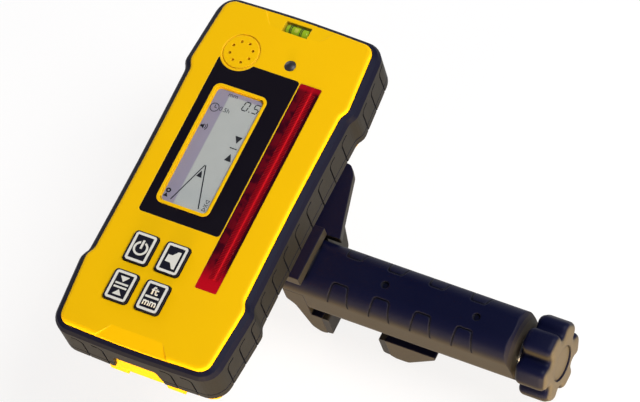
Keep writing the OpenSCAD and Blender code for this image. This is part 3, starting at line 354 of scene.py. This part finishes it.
# inks and the liquid of the vial: two close tones that drift into each other
inkFinishes = {
    # segments of the display and lines on the vial: dense black with a trace of blue
    "crystalSegment": {"colours": ("101014", "18181E"), "roughness": 0.5, "speckMm": 0.6},
    # small legends of the display: thinner, so the grey behind shows through
    "faintSegment": {"colours": ("34343E", "404048"), "roughness": 0.5, "speckMm": 0.6},
    # air bubble of the vial: a pale lens over the green
    "vialBubble": {"colours": ("BFC23C", "CFD058"), "roughness": 0.25, "speckMm": 0.6},
    # screen ink of the keys: off-white, slightly rough
    "whiteKeyInk": {"colours": ("DEDDD2", "D2D1C6"), "roughness": 0.55, "speckMm": 0.6},
    # spirit of the vial: green, with a faint painted glow standing in for the light that passes through it
    "greenVialLiquid": {"colours": ("7A980C", "A2BC1E"), "roughness": 0.15, "speckMm": 5,
                        "paintedGlow": ("7A9C14", 0.25)},
}
for name, look in inkFinishes.items():
    tree, shader = newMaterial(name, {"Roughness": look["roughness"], "Specular IOR Level": 0.3})
    if "paintedGlow" in look:
        # painted light: the liquid glows a little though it is no lamp
        shader.inputs["Emission Color"].default_value = hexColour(look["paintedGlow"][0])
        shader.inputs["Emission Strength"].default_value = look["paintedGlow"][1]
    place = addNode(tree, "ShaderNodeTexCoord").outputs["Object"]
    speck = addNode(tree, "ShaderNodeTexNoise", values={"Scale": 1000 / look["speckMm"], "Detail": 2.0},
                    links={"Vector": place})
    first, second = look["colours"]
    ink = addNode(tree, "ShaderNodeMix", colourMix, {6: hexColour(first), 7: hexColour(second)},
                  {0: speck.outputs["Fac"]})
    tree.links.new(ink.outputs[2], shader.inputs["Base Color"])
print("all finishes made:", len(finishes))

# which finish each node of the frame takes
nodeFinishes = {
    "mouldedYellowAbs": ["front_shell", "rear_shell", "battery_door", "display_frame"],
    "mouldedBlackRubber": ["front_bumper", "rear_bumper"],
    "glassFilledNylon": ["clamp_body", "fixed_jaw", "moving_jaw"],
    "litFaceKnobNylon": ["star_knob", "knob_cap"],
    "jawPadRubber": ["fixed_jaw_pad", "moving_jaw_pad"],
    "keyBlackAbs": ["power_button", "volume_button", "accuracy_button", "units_button"],
    "printedLabelFilm": ["display_label"],
    "darkInnerPlastic": ["buzzer", "strobe_sensor_lens", "photodiodes", "key_switches"],
    "boardGreen": ["main_board", "photodiode_board"],
    "zincPlatedSteel": ["board_screws", "door_hinge_pin", "battery_contacts", "shell_screws", "clamp_screws",
                        "jaw_screws", "lead_screw", "thrust_washer", "retaining_ring", "knob_pin"],
    "turnedBrass": ["clamp_inserts", "jaw_nut"],
    "sinteredBronze": ["end_bush", "knob_bush"],
    "cellJacket": ["batteries"],
    "redFilterAcrylic": ["receiver_window"],
    "clearPolycarbonate": ["display_window"],
    "liquidCrystalPanel": ["lcd_panel"],
    "vialAcrylic": ["level_vial"],
    "greenVialLiquid": ["vial_fluid"],
}
for name, members in nodeFinishes.items():
    for member in members:
        cadNodes[member].data.materials.clear()
        cadNodes[member].data.materials.append(finishes[name])
print("finishes given to", sum(len(members) for members in nodeFinishes.values()), "nodes")


def clearSelection():
    if bpy.context.mode != "OBJECT":
        bpy.ops.object.mode_set(mode="OBJECT")
    bpy.ops.object.select_all(action="DESELECT")


def applyPlace():
    bpy.ops.object.transform_apply(location=True, rotation=True, scale=True)


def joinPieces(pieces):
    # one mesh out of several, with its place in the mesh
    clearSelection()
    for piece in pieces:
        piece.select_set(True)
    bpy.context.view_layer.objects.active = pieces[0]
    if len(pieces) > 1:
        bpy.ops.object.join()
    applyPlace()
    return bpy.context.object


def dress(piece, name, finish):
    piece.name = name
    piece.data.materials.clear()
    piece.data.materials.append(finishes[finish])


def flatShape(corners, z):
    # a filled outline: a disc of as many corners, each pulled to its place
    clearSelection()
    bpy.ops.mesh.primitive_circle_add(vertices=len(corners), radius=0.001, fill_type="NGON")
    shape = bpy.context.object
    for vertex, corner in zip(shape.data.vertices, corners):
        vertex.co = at(corner[0], corner[1], z)
    return shape


def stroke(start, end, width):
    along = (Vector(end) - Vector(start)).normalized() * width / 2
    side = Vector((-along.y, along.x))
    return [Vector(start) - side, Vector(end) - side, Vector(end) + side, Vector(start) + side]


def arcBand(middle, radius, width, first, last, steps):
    angles = [math.radians(first + (last - first) * i / steps) for i in range(steps + 1)]
    outer = [(middle[0] + (radius + width / 2) * math.cos(a), middle[1] + (radius + width / 2) * math.sin(a))
             for a in angles]
    inner = [(middle[0] + (radius - width / 2) * math.cos(a), middle[1] + (radius - width / 2) * math.sin(a))
             for a in reversed(angles)]
    return outer + inner


def roundedPlate(middle, size, radius, steps=6):
    corners = []
    for turn, sx, sy in ((0, 1, 1), (90, -1, 1), (180, -1, -1), (270, 1, -1)):
        for i in range(steps + 1):
            a = math.radians(turn + 90 * i / steps)
            corners.append((middle[0] + sx * (size[0] / 2 - radius) + radius * math.cos(a),
                            middle[1] + sy * (size[1] / 2 - radius) + radius * math.sin(a)))
    return corners


def letters(words, middle, size, z, squeeze, weight):
    clearSelection()
    bpy.ops.object.text_add()
    shape = bpy.context.object
    shape.data.body = words
    shape.data.size = size / 1000
    shape.data.align_x = "CENTER"
    shape.data.align_y = "CENTER"
    shape.data.resolution_u = 3
    shape.data.offset = weight / 1000
    bpy.ops.object.convert(target="MESH")
    shape = bpy.context.object
    shape.scale.x = squeeze
    shape.location = at(middle[0], middle[1], z)
    applyPlace()
    return shape


def drawSign(sign, x, y, z):
    # flat shapes of one printed sign, drawn round its own zero and set at x, y
    shapes = [flatShape([(x + px, y + py) for px, py in outline], z) for outline in sign.get("outlines", [])]
    shapes += [flatShape(stroke((x + start[0], y + start[1]), (x + end[0], y + end[1]), width), z)
               for start, end, width in sign.get("strokes", [])]
    shapes += [flatShape(arcBand((x + middle[0], y + middle[1]), radius, width, first, last, steps), z)
               for middle, radius, width, first, last, steps in sign.get("arcs", [])]
    shapes += [letters(words, (x + middle[0], y + middle[1]), size, z, squeeze, weight)
               for words, middle, size, squeeze, weight in sign.get("words", [])]
    return shapes


def raiseMarks(shapes, name, rise, finish, body):
    # joins flat shapes and gives them the thickness of their ink or film
    piece = joinPieces(shapes)
    bpy.ops.object.mode_set(mode="EDIT")
    bpy.ops.mesh.select_all(action="SELECT")
    bpy.ops.mesh.extrude_region_move(TRANSFORM_OT_translate={"value": (0, 0, rise / 1000)})
    bpy.ops.mesh.select_all(action="SELECT")
    bpy.ops.mesh.normals_make_consistent(inside=False)
    bpy.ops.object.mode_set(mode="OBJECT")
    dress(piece, name, finish)
    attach(piece, body)


def rodAlongX(start, stop, radius, axis, sides, ends="NGON"):
    # a round rod or tube from start to stop, its axis at y, z
    clearSelection()
    bpy.ops.mesh.primitive_cylinder_add(vertices=sides, radius=radius / 1000, depth=(stop - start) / 1000,
                                        end_fill_type=ends, location=at((start + stop) / 2, *axis),
                                        rotation=(0, math.radians(90), 0))
    return bpy.context.object


def rollRims(radius, segments):
    # rounds the rims of the flat ends, the only faces with more than 20 sides
    bpy.ops.object.mode_set(mode="EDIT")
    bpy.ops.mesh.select_all(action="DESELECT")
    bpy.ops.mesh.select_mode(type="FACE")
    bpy.ops.mesh.select_face_by_sides(number=20, type="GREATER")
    bpy.ops.mesh.region_to_loop()
    bpy.ops.mesh.bevel(offset=radius / 1000, segments=segments, affect="EDGES")
    bpy.ops.object.mode_set(mode="OBJECT")


def bevelledBlock(middle, size, bevel, segments):
    clearSelection()
    bpy.ops.mesh.primitive_cube_add(size=1)
    block = bpy.context.object
    block.scale = Vector(size) / 1000
    block.location = at(*middle)
    applyPlace()
    bpy.ops.object.mode_set(mode="EDIT")
    bpy.ops.mesh.select_all(action="SELECT")
    bpy.ops.mesh.bevel(offset=bevel / 1000, segments=segments)
    bpy.ops.object.mode_set(mode="OBJECT")
    return block


# front glass of the display: it fills the opening from the panel up to just under the clear window
displayGlass = {"middle": (-8.85, 12.9), "size": (21.5, 56.2), "corner": 1.9, "bottom": 33.6, "top": 35.2}
plate = flatShape(roundedPlate(displayGlass["middle"], displayGlass["size"], displayGlass["corner"]),
                  displayGlass["bottom"])
raiseMarks([plate], "displayGlass", displayGlass["top"] - displayGlass["bottom"], "liquidCrystalPanel",
           "receiver")

# marks on the display in the housing's millimetres; a digit is drawn from its seven bars
lcdMarks = {
    "rise": 0.05, "point": (-2.2, 34.85), "pointSize": (0.55, 0.55), "pointCorner": 0.2,
    "digits": [("0", (-4.4, 36.8)), ("5", (0.3, 36.95))], "digitSize": (2.3, 4.2), "barWidth": 0.45,
    "barGap": 0.2, "lean": 0.35,
}
# each sign has its place and its drawing round that place: arrows and lines, then the speaker and the cell
darkSigns = [
    ((0, 0), {"outlines": [[(-2.5, 22.75), (0.9, 22.75), (-0.6, 19.45)],
                           [(-0.55, 14.25), (1.05, 10.6), (-2.1, 10.65)],
                           [(-8.7, 2.95), (-7.4, -0.35), (-10.0, -0.15)]],
              "strokes": [((-2.4, 16.9), (0.9, 16.85), 0.45), ((-8.65, 5.65), (-15.4, -13.85), 0.45),
                          ((-8.25, 5.65), (-2.1, -13.95), 0.5)]}),
    ((-18.2, 22.25), {"outlines": [[(-0.9, -0.5), (-0.2, -0.5), (0.7, -1.2), (0.7, 1.2), (-0.2, 0.5),
                                    (-0.9, 0.5)]],
                      "arcs": [((0, 0), 1.5, 0.32, -42, 42, 8), ((0, 0), 2.2, 0.32, -42, 42, 8)]}),
    ((-18.1, -11.15), {"outlines": [[(-1.3, -2.2), (0.9, -2.2), (-0.2, -0.3)]],
                       "arcs": [((0, 0.9), 0.8, 0.7, 0, 359, 18)]}),
]
# the unit, the delay with its clock, and the fan sign of the beam
faintSigns = [
    ((-11.9, 39.6), {"words": [("mm", (0, 0), 3.0, 1.0, 0.0)]}),
    ((-12.5, 32.05), {"words": [("0.5h", (0, 0), 2.9, 1.0, 0.0)]}),
    ((-17.2, 31.95), {"arcs": [((0, 0), 1.95, 0.34, 0, 359, 32)],
                      "strokes": [((0, 0), (0, 1.35), 0.3), ((0, 0), (1.0, 0), 0.3)]}),
    ((0.1, -11.55), {"strokes": [((-0.8, 2.5), (0.9, 2.5), 0.26), ((-0.8, 2.5), (0.05, 0.9), 0.26),
                                 ((0.9, 2.5), (0.05, 0.9), 0.26), ((-0.8, -2.5), (0.9, -2.5), 0.26),
                                 ((-0.8, -2.5), (0.05, -0.9), 0.26), ((0.9, -2.5), (0.05, -0.9), 0.26),
                                 ((-0.9, 0.6), (1.0, -0.6), 0.26), ((-0.9, -0.6), (1.0, 0.6), 0.26)]}),
]
segmentEnds = {
    "top": ((-1, 1), (1, 1)), "middle": ((-1, 0), (1, 0)), "bottom": ((-1, -1), (1, -1)),
    "topLeft": ((-1, 1), (-1, 0)), "topRight": ((1, 1), (1, 0)),
    "lowLeft": ((-1, 0), (-1, -1)), "lowRight": ((1, 0), (1, -1)),
}
digitBars = {"0": ("top", "bottom", "topLeft", "topRight", "lowLeft", "lowRight"),
             "5": ("top", "middle", "bottom", "topLeft", "lowRight")}
glassTop = displayGlass["top"]
halfX, halfY = lcdMarks["digitSize"][0] / 2, lcdMarks["digitSize"][1] / 2
dark, faint = [], []
for digit, middle in lcdMarks["digits"]:
    for bar in digitBars[digit]:
        start, end = [Vector((middle[0] + ex * halfX + ey * lcdMarks["lean"], middle[1] + ey * halfY))
                      for ex, ey in segmentEnds[bar]]
        gap = (end - start).normalized() * lcdMarks["barGap"]
        dark.append(flatShape(stroke(start + gap, end - gap, lcdMarks["barWidth"]), glassTop))
point = roundedPlate(lcdMarks["point"], lcdMarks["pointSize"], lcdMarks["pointCorner"], 3)
dark.append(flatShape(point, glassTop))
for (x, y), sign in darkSigns:
    dark += drawSign(sign, x, y, glassTop)
for (x, y), sign in faintSigns:
    faint += drawSign(sign, x, y, glassTop)
raiseMarks(dark, "displaySegments", lcdMarks["rise"], "crystalSegment", "receiver")
raiseMarks(faint, "displayLegends", lcdMarks["rise"], "faintSegment", "receiver")
print("display marks made")

# white print on the keys: a border and a sign on each, in millimetres from the key's middle
keyMarks = {"rise": 0.05, "border": (9.7, 13.3), "corner": 1.3, "borderWidth": 1.15}
keySigns = {
    "power": {"arcs": [((0, -0.3), 2.85, 0.95, 112, 428, 40)], "strokes": [((0, -0.5), (0, 3.6), 1.0)]},
    "volume": {"outlines": [[(-2.7, -1.8), (-0.2, -1.9), (1.5, -4.4), (2.7, -4.4), (2.7, 3.7), (1.3, 3.7),
                             (-0.6, 1.5), (-2.6, 1.5)]]},
    "accuracy": {"outlines": [[(-2.15, 4.4), (0, 1.8), (2.15, 4.4)],
                              [(-2.15, -4.4), (2.15, -4.4), (0, -1.8)]],
                 "strokes": [((-3.0, 0.85), (3.0, 0.85), 0.85), ((-3.0, -0.85), (3.0, -0.85), 0.85)]},
    "units": {"words": [("ft", (0, 2.6), 4.9, 1.15, 0.12), ("mm", (0, -2.9), 4.5, 0.93, 0.12)],
              "strokes": [((-3.2, -0.3), (3.2, -0.3), 0.95)]},
}
for key, sign in keySigns.items():
    low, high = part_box(key + "_button")
    middle = (low + high) / 2 * 1000 - housingMiddle
    top = high.z * 1000 - housingMiddle.z
    border = flatShape(roundedPlate((middle.x, middle.y), keyMarks["border"], keyMarks["corner"]), top)
    bpy.ops.object.mode_set(mode="EDIT")
    bpy.ops.mesh.select_all(action="SELECT")
    bpy.ops.mesh.inset(thickness=keyMarks["borderWidth"] / 1000)
    bpy.ops.mesh.delete(type="FACE")
    bpy.ops.object.mode_set(mode="OBJECT")
    raiseMarks([border] + drawSign(sign, middle.x, middle.y, top), key + "KeyPrint", keyMarks["rise"],
               "whiteKeyInk", key + "_key")
print("key print made")

# cross ribs moulded on the red window, one row of them beside a long ridge; the window's ends stay plain
windowRibs = {"pitch": 0.75, "width": 0.38, "rise": 0.28, "from": -1.2, "to": 3.6, "bevel": 0.09,
              "ridge": 1.4, "ridgeWidth": 0.5, "ridgeRise": 0.448, "ridgeBevel": 0.16,
              "bottomPlain": 7.0, "topPlain": 4.0}
low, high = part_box("receiver_window")
low, high = low * 1000 - housingMiddle, high * 1000 - housingMiddle
windowMiddle = (low.x + high.x) / 2
firstRib = low.y + windowRibs["bottomPlain"]
ribbedLength = high.y - windowRibs["topPlain"] - firstRib
ribs = bevelledBlock(
    (windowMiddle + (windowRibs["to"] + windowRibs["from"]) / 2, firstRib, high.z + windowRibs["rise"] / 2),
    (windowRibs["to"] - windowRibs["from"], windowRibs["width"], windowRibs["rise"]), windowRibs["bevel"], 2)
row = ribs.modifiers.new("row", "ARRAY")
row.use_relative_offset = False
row.use_constant_offset = True
row.constant_offset_displace = (0, windowRibs["pitch"] / 1000, 0)
row.count = int(ribbedLength / windowRibs["pitch"])
bpy.ops.object.modifier_apply(modifier="row")
ridge = bevelledBlock(
    (windowMiddle + windowRibs["ridge"], firstRib + ribbedLength / 2, high.z + windowRibs["ridgeRise"] / 2),
    (windowRibs["ridgeWidth"], ribbedLength, windowRibs["ridgeRise"]), windowRibs["ridgeBevel"], 3)
ribs = joinPieces([ribs, ridge])
dress(ribs, "windowRibs", "redRibAcrylic")
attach(ribs, "receiver")
print("window ribs made:", len(ribs.data.vertices), "corners")

# liquid, lines and bubble of the level vial; the liquid keeps clear of the tube by a hair, so that both show
vialMarks = {"axis": (77.3, 33.0), "liquidRadius": 2.2, "liquidHalf": 5.2, "liquidRoll": 0.6,
             "lines": (-3.0, -2.3, 1.9, 2.6), "lineRadius": 2.62, "lineHalf": 0.13, "lineInk": 0.14,
             "bubble": (1.6, 1.1, 0.45), "bubbleX": -0.2, "bubbleRise": 1.82, "bubbleSole": 0.35}
liquid = rodAlongX(-vialMarks["liquidHalf"], vialMarks["liquidHalf"], vialMarks["liquidRadius"],
                   vialMarks["axis"], 64)
applyPlace()
rollRims(vialMarks["liquidRoll"], 3)
bpy.ops.object.shade_smooth_by_angle(angle=math.radians(40))
dress(liquid, "vialLiquid", "greenVialLiquid")
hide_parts("vial_fluid")
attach(liquid, "receiver")
lines = []
for x in vialMarks["lines"]:
    lines.append(rodAlongX(x - vialMarks["lineHalf"], x + vialMarks["lineHalf"], vialMarks["lineRadius"],
                           vialMarks["axis"], 48, "NOTHING"))
    ink = lines[-1].modifiers.new("ink", "SOLIDIFY")
    ink.thickness = vialMarks["lineInk"] / 1000
    ink.offset = 0
    bpy.ops.object.modifier_apply(modifier="ink")
vialLines = joinPieces(lines)
bpy.ops.object.shade_smooth_by_angle(angle=math.radians(40))
dress(vialLines, "vialLines", "crystalSegment")
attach(vialLines, "receiver")
bubbleMiddle = at(vialMarks["bubbleX"], vialMarks["axis"][0], vialMarks["axis"][1] + vialMarks["bubbleRise"])
clearSelection()
bpy.ops.mesh.primitive_uv_sphere_add(segments=32, ring_count=16, radius=0.001)
bubble = bpy.context.object
bubble.scale = vialMarks["bubble"]
bubble.location = bubbleMiddle
applyPlace()
bpy.ops.object.mode_set(mode="EDIT")
bpy.ops.mesh.select_all(action="DESELECT")
bpy.ops.mesh.select_mode(type="VERT")
bpy.ops.object.mode_set(mode="OBJECT")
for vertex in bubble.data.vertices:
    vertex.select = vertex.co.z < bubbleMiddle.z - 0.000001
bpy.ops.object.mode_set(mode="EDIT")
bpy.ops.transform.resize(value=(1, 1, vialMarks["bubbleSole"]), center_override=bubbleMiddle)  # flat below
bpy.ops.object.mode_set(mode="OBJECT")
bpy.ops.object.shade_smooth()
dress(bubble, "vialBubble", "vialBubble")
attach(bubble, "receiver")
print("vial marked")

# star knob: six round lobes with both rims rolled over, a hub behind and a seat for the cap in its face
starKnob = {"from": 137.3, "axis": (-2.5, -23.5), "length": 14.5, "lobes": 6, "lobeHalf": 5.6, "reach": 17.5,
            "valley": 11.0, "corner": 3.6, "roll": 2.9, "capRadius": 8.0, "capDepth": 2.5, "hubRadius": 8.4,
            "hubFrom": 135.9, "hubInside": 0.5}
corners = []
for lobe in range(starKnob["lobes"]):
    a = 2 * math.pi * (lobe + 0.5) / starKnob["lobes"]
    outward, sideways = Vector((math.cos(a), math.sin(a))), Vector((-math.sin(a), math.cos(a)))
    between = a + math.pi / starKnob["lobes"]
    corners += [outward * starKnob["reach"] - sideways * starKnob["lobeHalf"],
                outward * starKnob["reach"] + sideways * starKnob["lobeHalf"],
                Vector((math.cos(between), math.sin(between))) * starKnob["valley"]]
clearSelection()
bpy.ops.mesh.primitive_circle_add(vertices=len(corners), radius=0.001, fill_type="NGON")
knob = bpy.context.object
knobY, knobZ = starKnob["axis"]
for vertex, corner in zip(knob.data.vertices, corners):
    vertex.co = at(starKnob["from"], knobY + corner.x, knobZ + corner.y)
bpy.ops.object.mode_set(mode="EDIT")
bpy.ops.mesh.select_all(action="SELECT")
bpy.ops.mesh.bevel(offset=starKnob["corner"] / 1000, segments=6, affect="VERTICES")
bpy.ops.mesh.select_all(action="SELECT")
bpy.ops.mesh.extrude_region_move(TRANSFORM_OT_translate={"value": (starKnob["length"] / 1000, 0, 0)})
bpy.ops.mesh.select_all(action="SELECT")
bpy.ops.mesh.normals_make_consistent(inside=False)
bpy.ops.object.mode_set(mode="OBJECT")
rollRims(starKnob["roll"], 5)
knobFace = starKnob["from"] + starKnob["length"]
cutter = rodAlongX(knobFace - starKnob["capDepth"], knobFace + starKnob["capDepth"], starKnob["capRadius"],
                   starKnob["axis"], 96)
seat = knob.modifiers.new("seat", "BOOLEAN")
seat.operation = "DIFFERENCE"
seat.object = cutter
bpy.context.view_layer.objects.active = knob
bpy.ops.object.modifier_apply(modifier="seat")
bpy.data.objects.remove(cutter)
hub = rodAlongX(starKnob["hubFrom"], starKnob["from"] + starKnob["hubInside"], starKnob["hubRadius"],
                starKnob["axis"], 96)
knob = joinPieces([knob, hub])
bpy.ops.object.shade_smooth_by_angle(angle=math.radians(40))
dress(knob, "starKnobBody", "litFaceKnobNylon")
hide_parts("star_knob")
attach(knob, "knob")
print("knob made:", len(knob.data.vertices), "corners")

# lead screw with a trapezoid thread of 4 mm a turn, left handed, so that a knob turned right closes the jaw
leadScrew = {"axis": (-2.5, -23.5), "steps": [(46.5, 54.0, 3.0), (54.0, 118.6, 3.2), (118.5, 146.0, 4.0)],
             "thread": ((0.75, 3.1), (1.25, 4.0), (2.35, 4.0), (2.85, 3.1)), "lead": 4.0, "turns": 15,
             "chamfer": 0.3}
rods = []
for start, stop, radius in leadScrew["steps"]:
    rods.append(rodAlongX(start, stop, radius, leadScrew["axis"], 64))
    rollRims(leadScrew["chamfer"], 2)
clearSelection()
bpy.ops.mesh.primitive_circle_add(vertices=len(leadScrew["thread"]), radius=0.001, fill_type="NOTHING")
coil = bpy.context.object
for vertex, (along, radius) in zip(coil.data.vertices, leadScrew["thread"]):
    vertex.co = (along / 1000, 0, radius / 1000)
wind = coil.modifiers.new("wind", "SCREW")
wind.axis = "X"
wind.angle = math.radians(-360)
wind.screw_offset = leadScrew["lead"] / 1000
wind.iterations = leadScrew["turns"]
wind.steps = 32
bpy.ops.object.modifier_apply(modifier="wind")
coil.location = at(leadScrew["steps"][1][0], *leadScrew["axis"])
bpy.ops.object.mode_set(mode="EDIT")
bpy.ops.mesh.select_all(action="SELECT")
bpy.ops.mesh.remove_doubles(threshold=0.000001)
bpy.ops.mesh.fill_holes(sides=4)
bpy.ops.mesh.select_all(action="SELECT")
bpy.ops.mesh.normals_make_consistent(inside=False)
bpy.ops.object.mode_set(mode="OBJECT")
coil = joinPieces([coil] + rods)
bpy.ops.object.shade_smooth_by_angle(angle=math.radians(35))
dress(coil, "threadedLeadScrew", "zincPlatedSteel")
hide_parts("lead_screw")
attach(coil, "knob")
print("lead screw threaded:", len(coil.data.vertices), "corners")


def seenRays(tree):
    # one for rays that show the background: straight from the camera, off a gloss or through a clear piece
    rays = addNode(tree, "ShaderNodeLightPath")
    mirrored = addNode(tree, "ShaderNodeMath", {"operation": "MAXIMUM"},
                       links={0: rays.outputs["Is Camera Ray"], 1: rays.outputs["Is Glossy Ray"]})
    seen = addNode(tree, "ShaderNodeMath", {"operation": "MAXIMUM"},
                   links={0: mirrored.outputs["Value"], 1: rays.outputs["Is Transmission Ray"]})
    return seen.outputs["Value"]


# white floor: white to the eye with a faint shadow, throws a warm light back up, hides nothing from below
floorLook = {"size": 9.0, "drop": 0.0005, "shadow": 0.16, "paper": "FAFAFA", "bounce": "D6C9AE"}
clearSelection()
bpy.ops.mesh.primitive_plane_add(size=floorLook["size"])
floor = bpy.context.object
floor.name = "paperFloor"
floor.location.z = cadBox[0][2] - floorLook["drop"]
applyPlace()
material = bpy.data.materials.new("whitePaper")
material.use_nodes = True
tree = material.node_tree
tree.nodes.clear()
paper = addNode(tree, "ShaderNodeBsdfDiffuse", values={"Color": hexColour(floorLook["paper"])})
lit = addNode(tree, "ShaderNodeEmission", values={"Color": (1, 1, 1, 1), "Strength": 1.0})
mixed = addNode(tree, "ShaderNodeMixShader", values={0: 1 - floorLook["shadow"]},
                links={1: paper.outputs[0], 2: lit.outputs[0]})
bounce = addNode(tree, "ShaderNodeBsdfDiffuse", values={"Color": hexColour(floorLook["bounce"])})
chosen = addNode(tree, "ShaderNodeMixShader",
                 links={0: seenRays(tree), 1: bounce.outputs[0], 2: mixed.outputs[0]})
underside = addNode(tree, "ShaderNodeNewGeometry").outputs["Backfacing"]
clear = addNode(tree, "ShaderNodeBsdfTransparent")
oneSided = addNode(tree, "ShaderNodeMixShader",
                   links={0: underside, 1: chosen.outputs[0], 2: clear.outputs[0]})
addNode(tree, "ShaderNodeOutputMaterial", links={"Surface": oneSided.outputs[0]})
floor.data.materials.append(material)
print("floor laid")

# studio tent: warm white round the horizon, deep blue overhead so that flat black faces stay dark and cool;
# seen straight or through a clear piece it is white, and a gloss shows its foot white and its top blue
tent = {"wall": "BCB3A2", "zenith": "1E2C58", "climb": (0.05, 0.6)}
world = bpy.data.worlds.new("studioTent")
scene.world = world
world.use_nodes = True
tree = world.node_tree
tree.nodes.clear()
place = addNode(tree, "ShaderNodeTexCoord").outputs["Generated"]
height = addNode(tree, "ShaderNodeSeparateXYZ", links={"Vector": place}).outputs["Z"]
climb = addNode(tree, "ShaderNodeMapRange", softStep,
                {"From Min": tent["climb"][0], "From Max": tent["climb"][1]}, {"Value": height})
sky = addNode(tree, "ShaderNodeMix", colourMix, {6: hexColour(tent["wall"]), 7: hexColour(tent["zenith"])},
              {0: climb.outputs["Result"]})
soft = addNode(tree, "ShaderNodeBackground", links={"Color": sky.outputs[2]})
glossy = addNode(tree, "ShaderNodeLightPath").outputs["Is Glossy Ray"]
overhead = addNode(tree, "ShaderNodeMath", {"operation": "MULTIPLY"},
                   links={0: climb.outputs["Result"], 1: glossy})
backdrop = addNode(tree, "ShaderNodeMix", colourMix, {6: (1, 1, 1, 1), 7: hexColour(tent["zenith"])},
                   {0: overhead.outputs["Value"]})
white = addNode(tree, "ShaderNodeBackground", values={"Strength": 1.0}, links={"Color": backdrop.outputs[2]})
chosen = addNode(tree, "ShaderNodeMixShader",
                 links={0: seenRays(tree), 1: soft.outputs[0], 2: white.outputs[0]})
addNode(tree, "ShaderNodeOutputWorld", links={"Surface": chosen.outputs[0]})
print("tent set")

# softboxes: a broad key high on the knob side, a low rim, a small warm fill close to the knob, another on the
# near side
softboxes = {
    "keySoftbox": {"from": (0.7, 0.3, 1.1), "size": (0.7, 0.7), "watts": 19.0, "colour": "FFFFFF"},
    "rimSoftbox": {"from": (-1.1, 0.75, 0.35), "size": (0.7, 0.4), "watts": 4.0, "colour": "FFFFFF"},
    "knobFill": {"from": (0.34, -0.14, 0.02), "size": (0.3, 0.1), "watts": 1.7, "colour": "FFE0B0"},
    "nearFill": {"from": (0.25, -1.25, 0.12), "size": (1.0, 0.3), "watts": 32.0, "colour": "FFE0B0"},
}
for name, box in softboxes.items():
    lamp = bpy.data.lights.new(name, "AREA")
    lamp.shape = "RECTANGLE"
    lamp.size, lamp.size_y = box["size"]
    lamp.energy = box["watts"]
    lamp.color = hexColour(box["colour"])[:3]
    holder = bpy.data.objects.new(name, lamp)
    scene.collection.objects.link(holder)
    holder.location = box["from"]
    holder.rotation_euler = (-Vector(box["from"])).to_track_quat("-Z", "Y").to_euler()
print("softboxes hung:", len(softboxes))

# camera at the photograph's angle, its place in metres
view = {"from": (0.791419, -0.751466, 1.979764), "ahead": (-0.360135, 0.346516, -0.866158), "roll": 22.887,
        "lens": 297.578, "sensor": 36.0, "farEnd": 20}
camera = bpy.data.objects.new("photoCamera", bpy.data.cameras.new("photoCamera"))
scene.collection.objects.link(camera)
camera.data.sensor_fit = "HORIZONTAL"
camera.data.sensor_width = view["sensor"]
camera.data.lens = view["lens"]
camera.data.clip_end = view["farEnd"]
ahead = Vector(view["ahead"]).normalized()
level = ahead.cross(Vector((0, 0, 1))).normalized()
upright = level.cross(ahead)
roll = math.radians(view["roll"])
up = upright * math.cos(roll) + level * math.sin(roll)
right = ahead.cross(up)
turn = Matrix((right, up, -ahead)).transposed().to_4x4()
camera.matrix_world = Matrix.Translation(Vector(view["from"])) @ turn
scene.camera = camera
print("camera set")
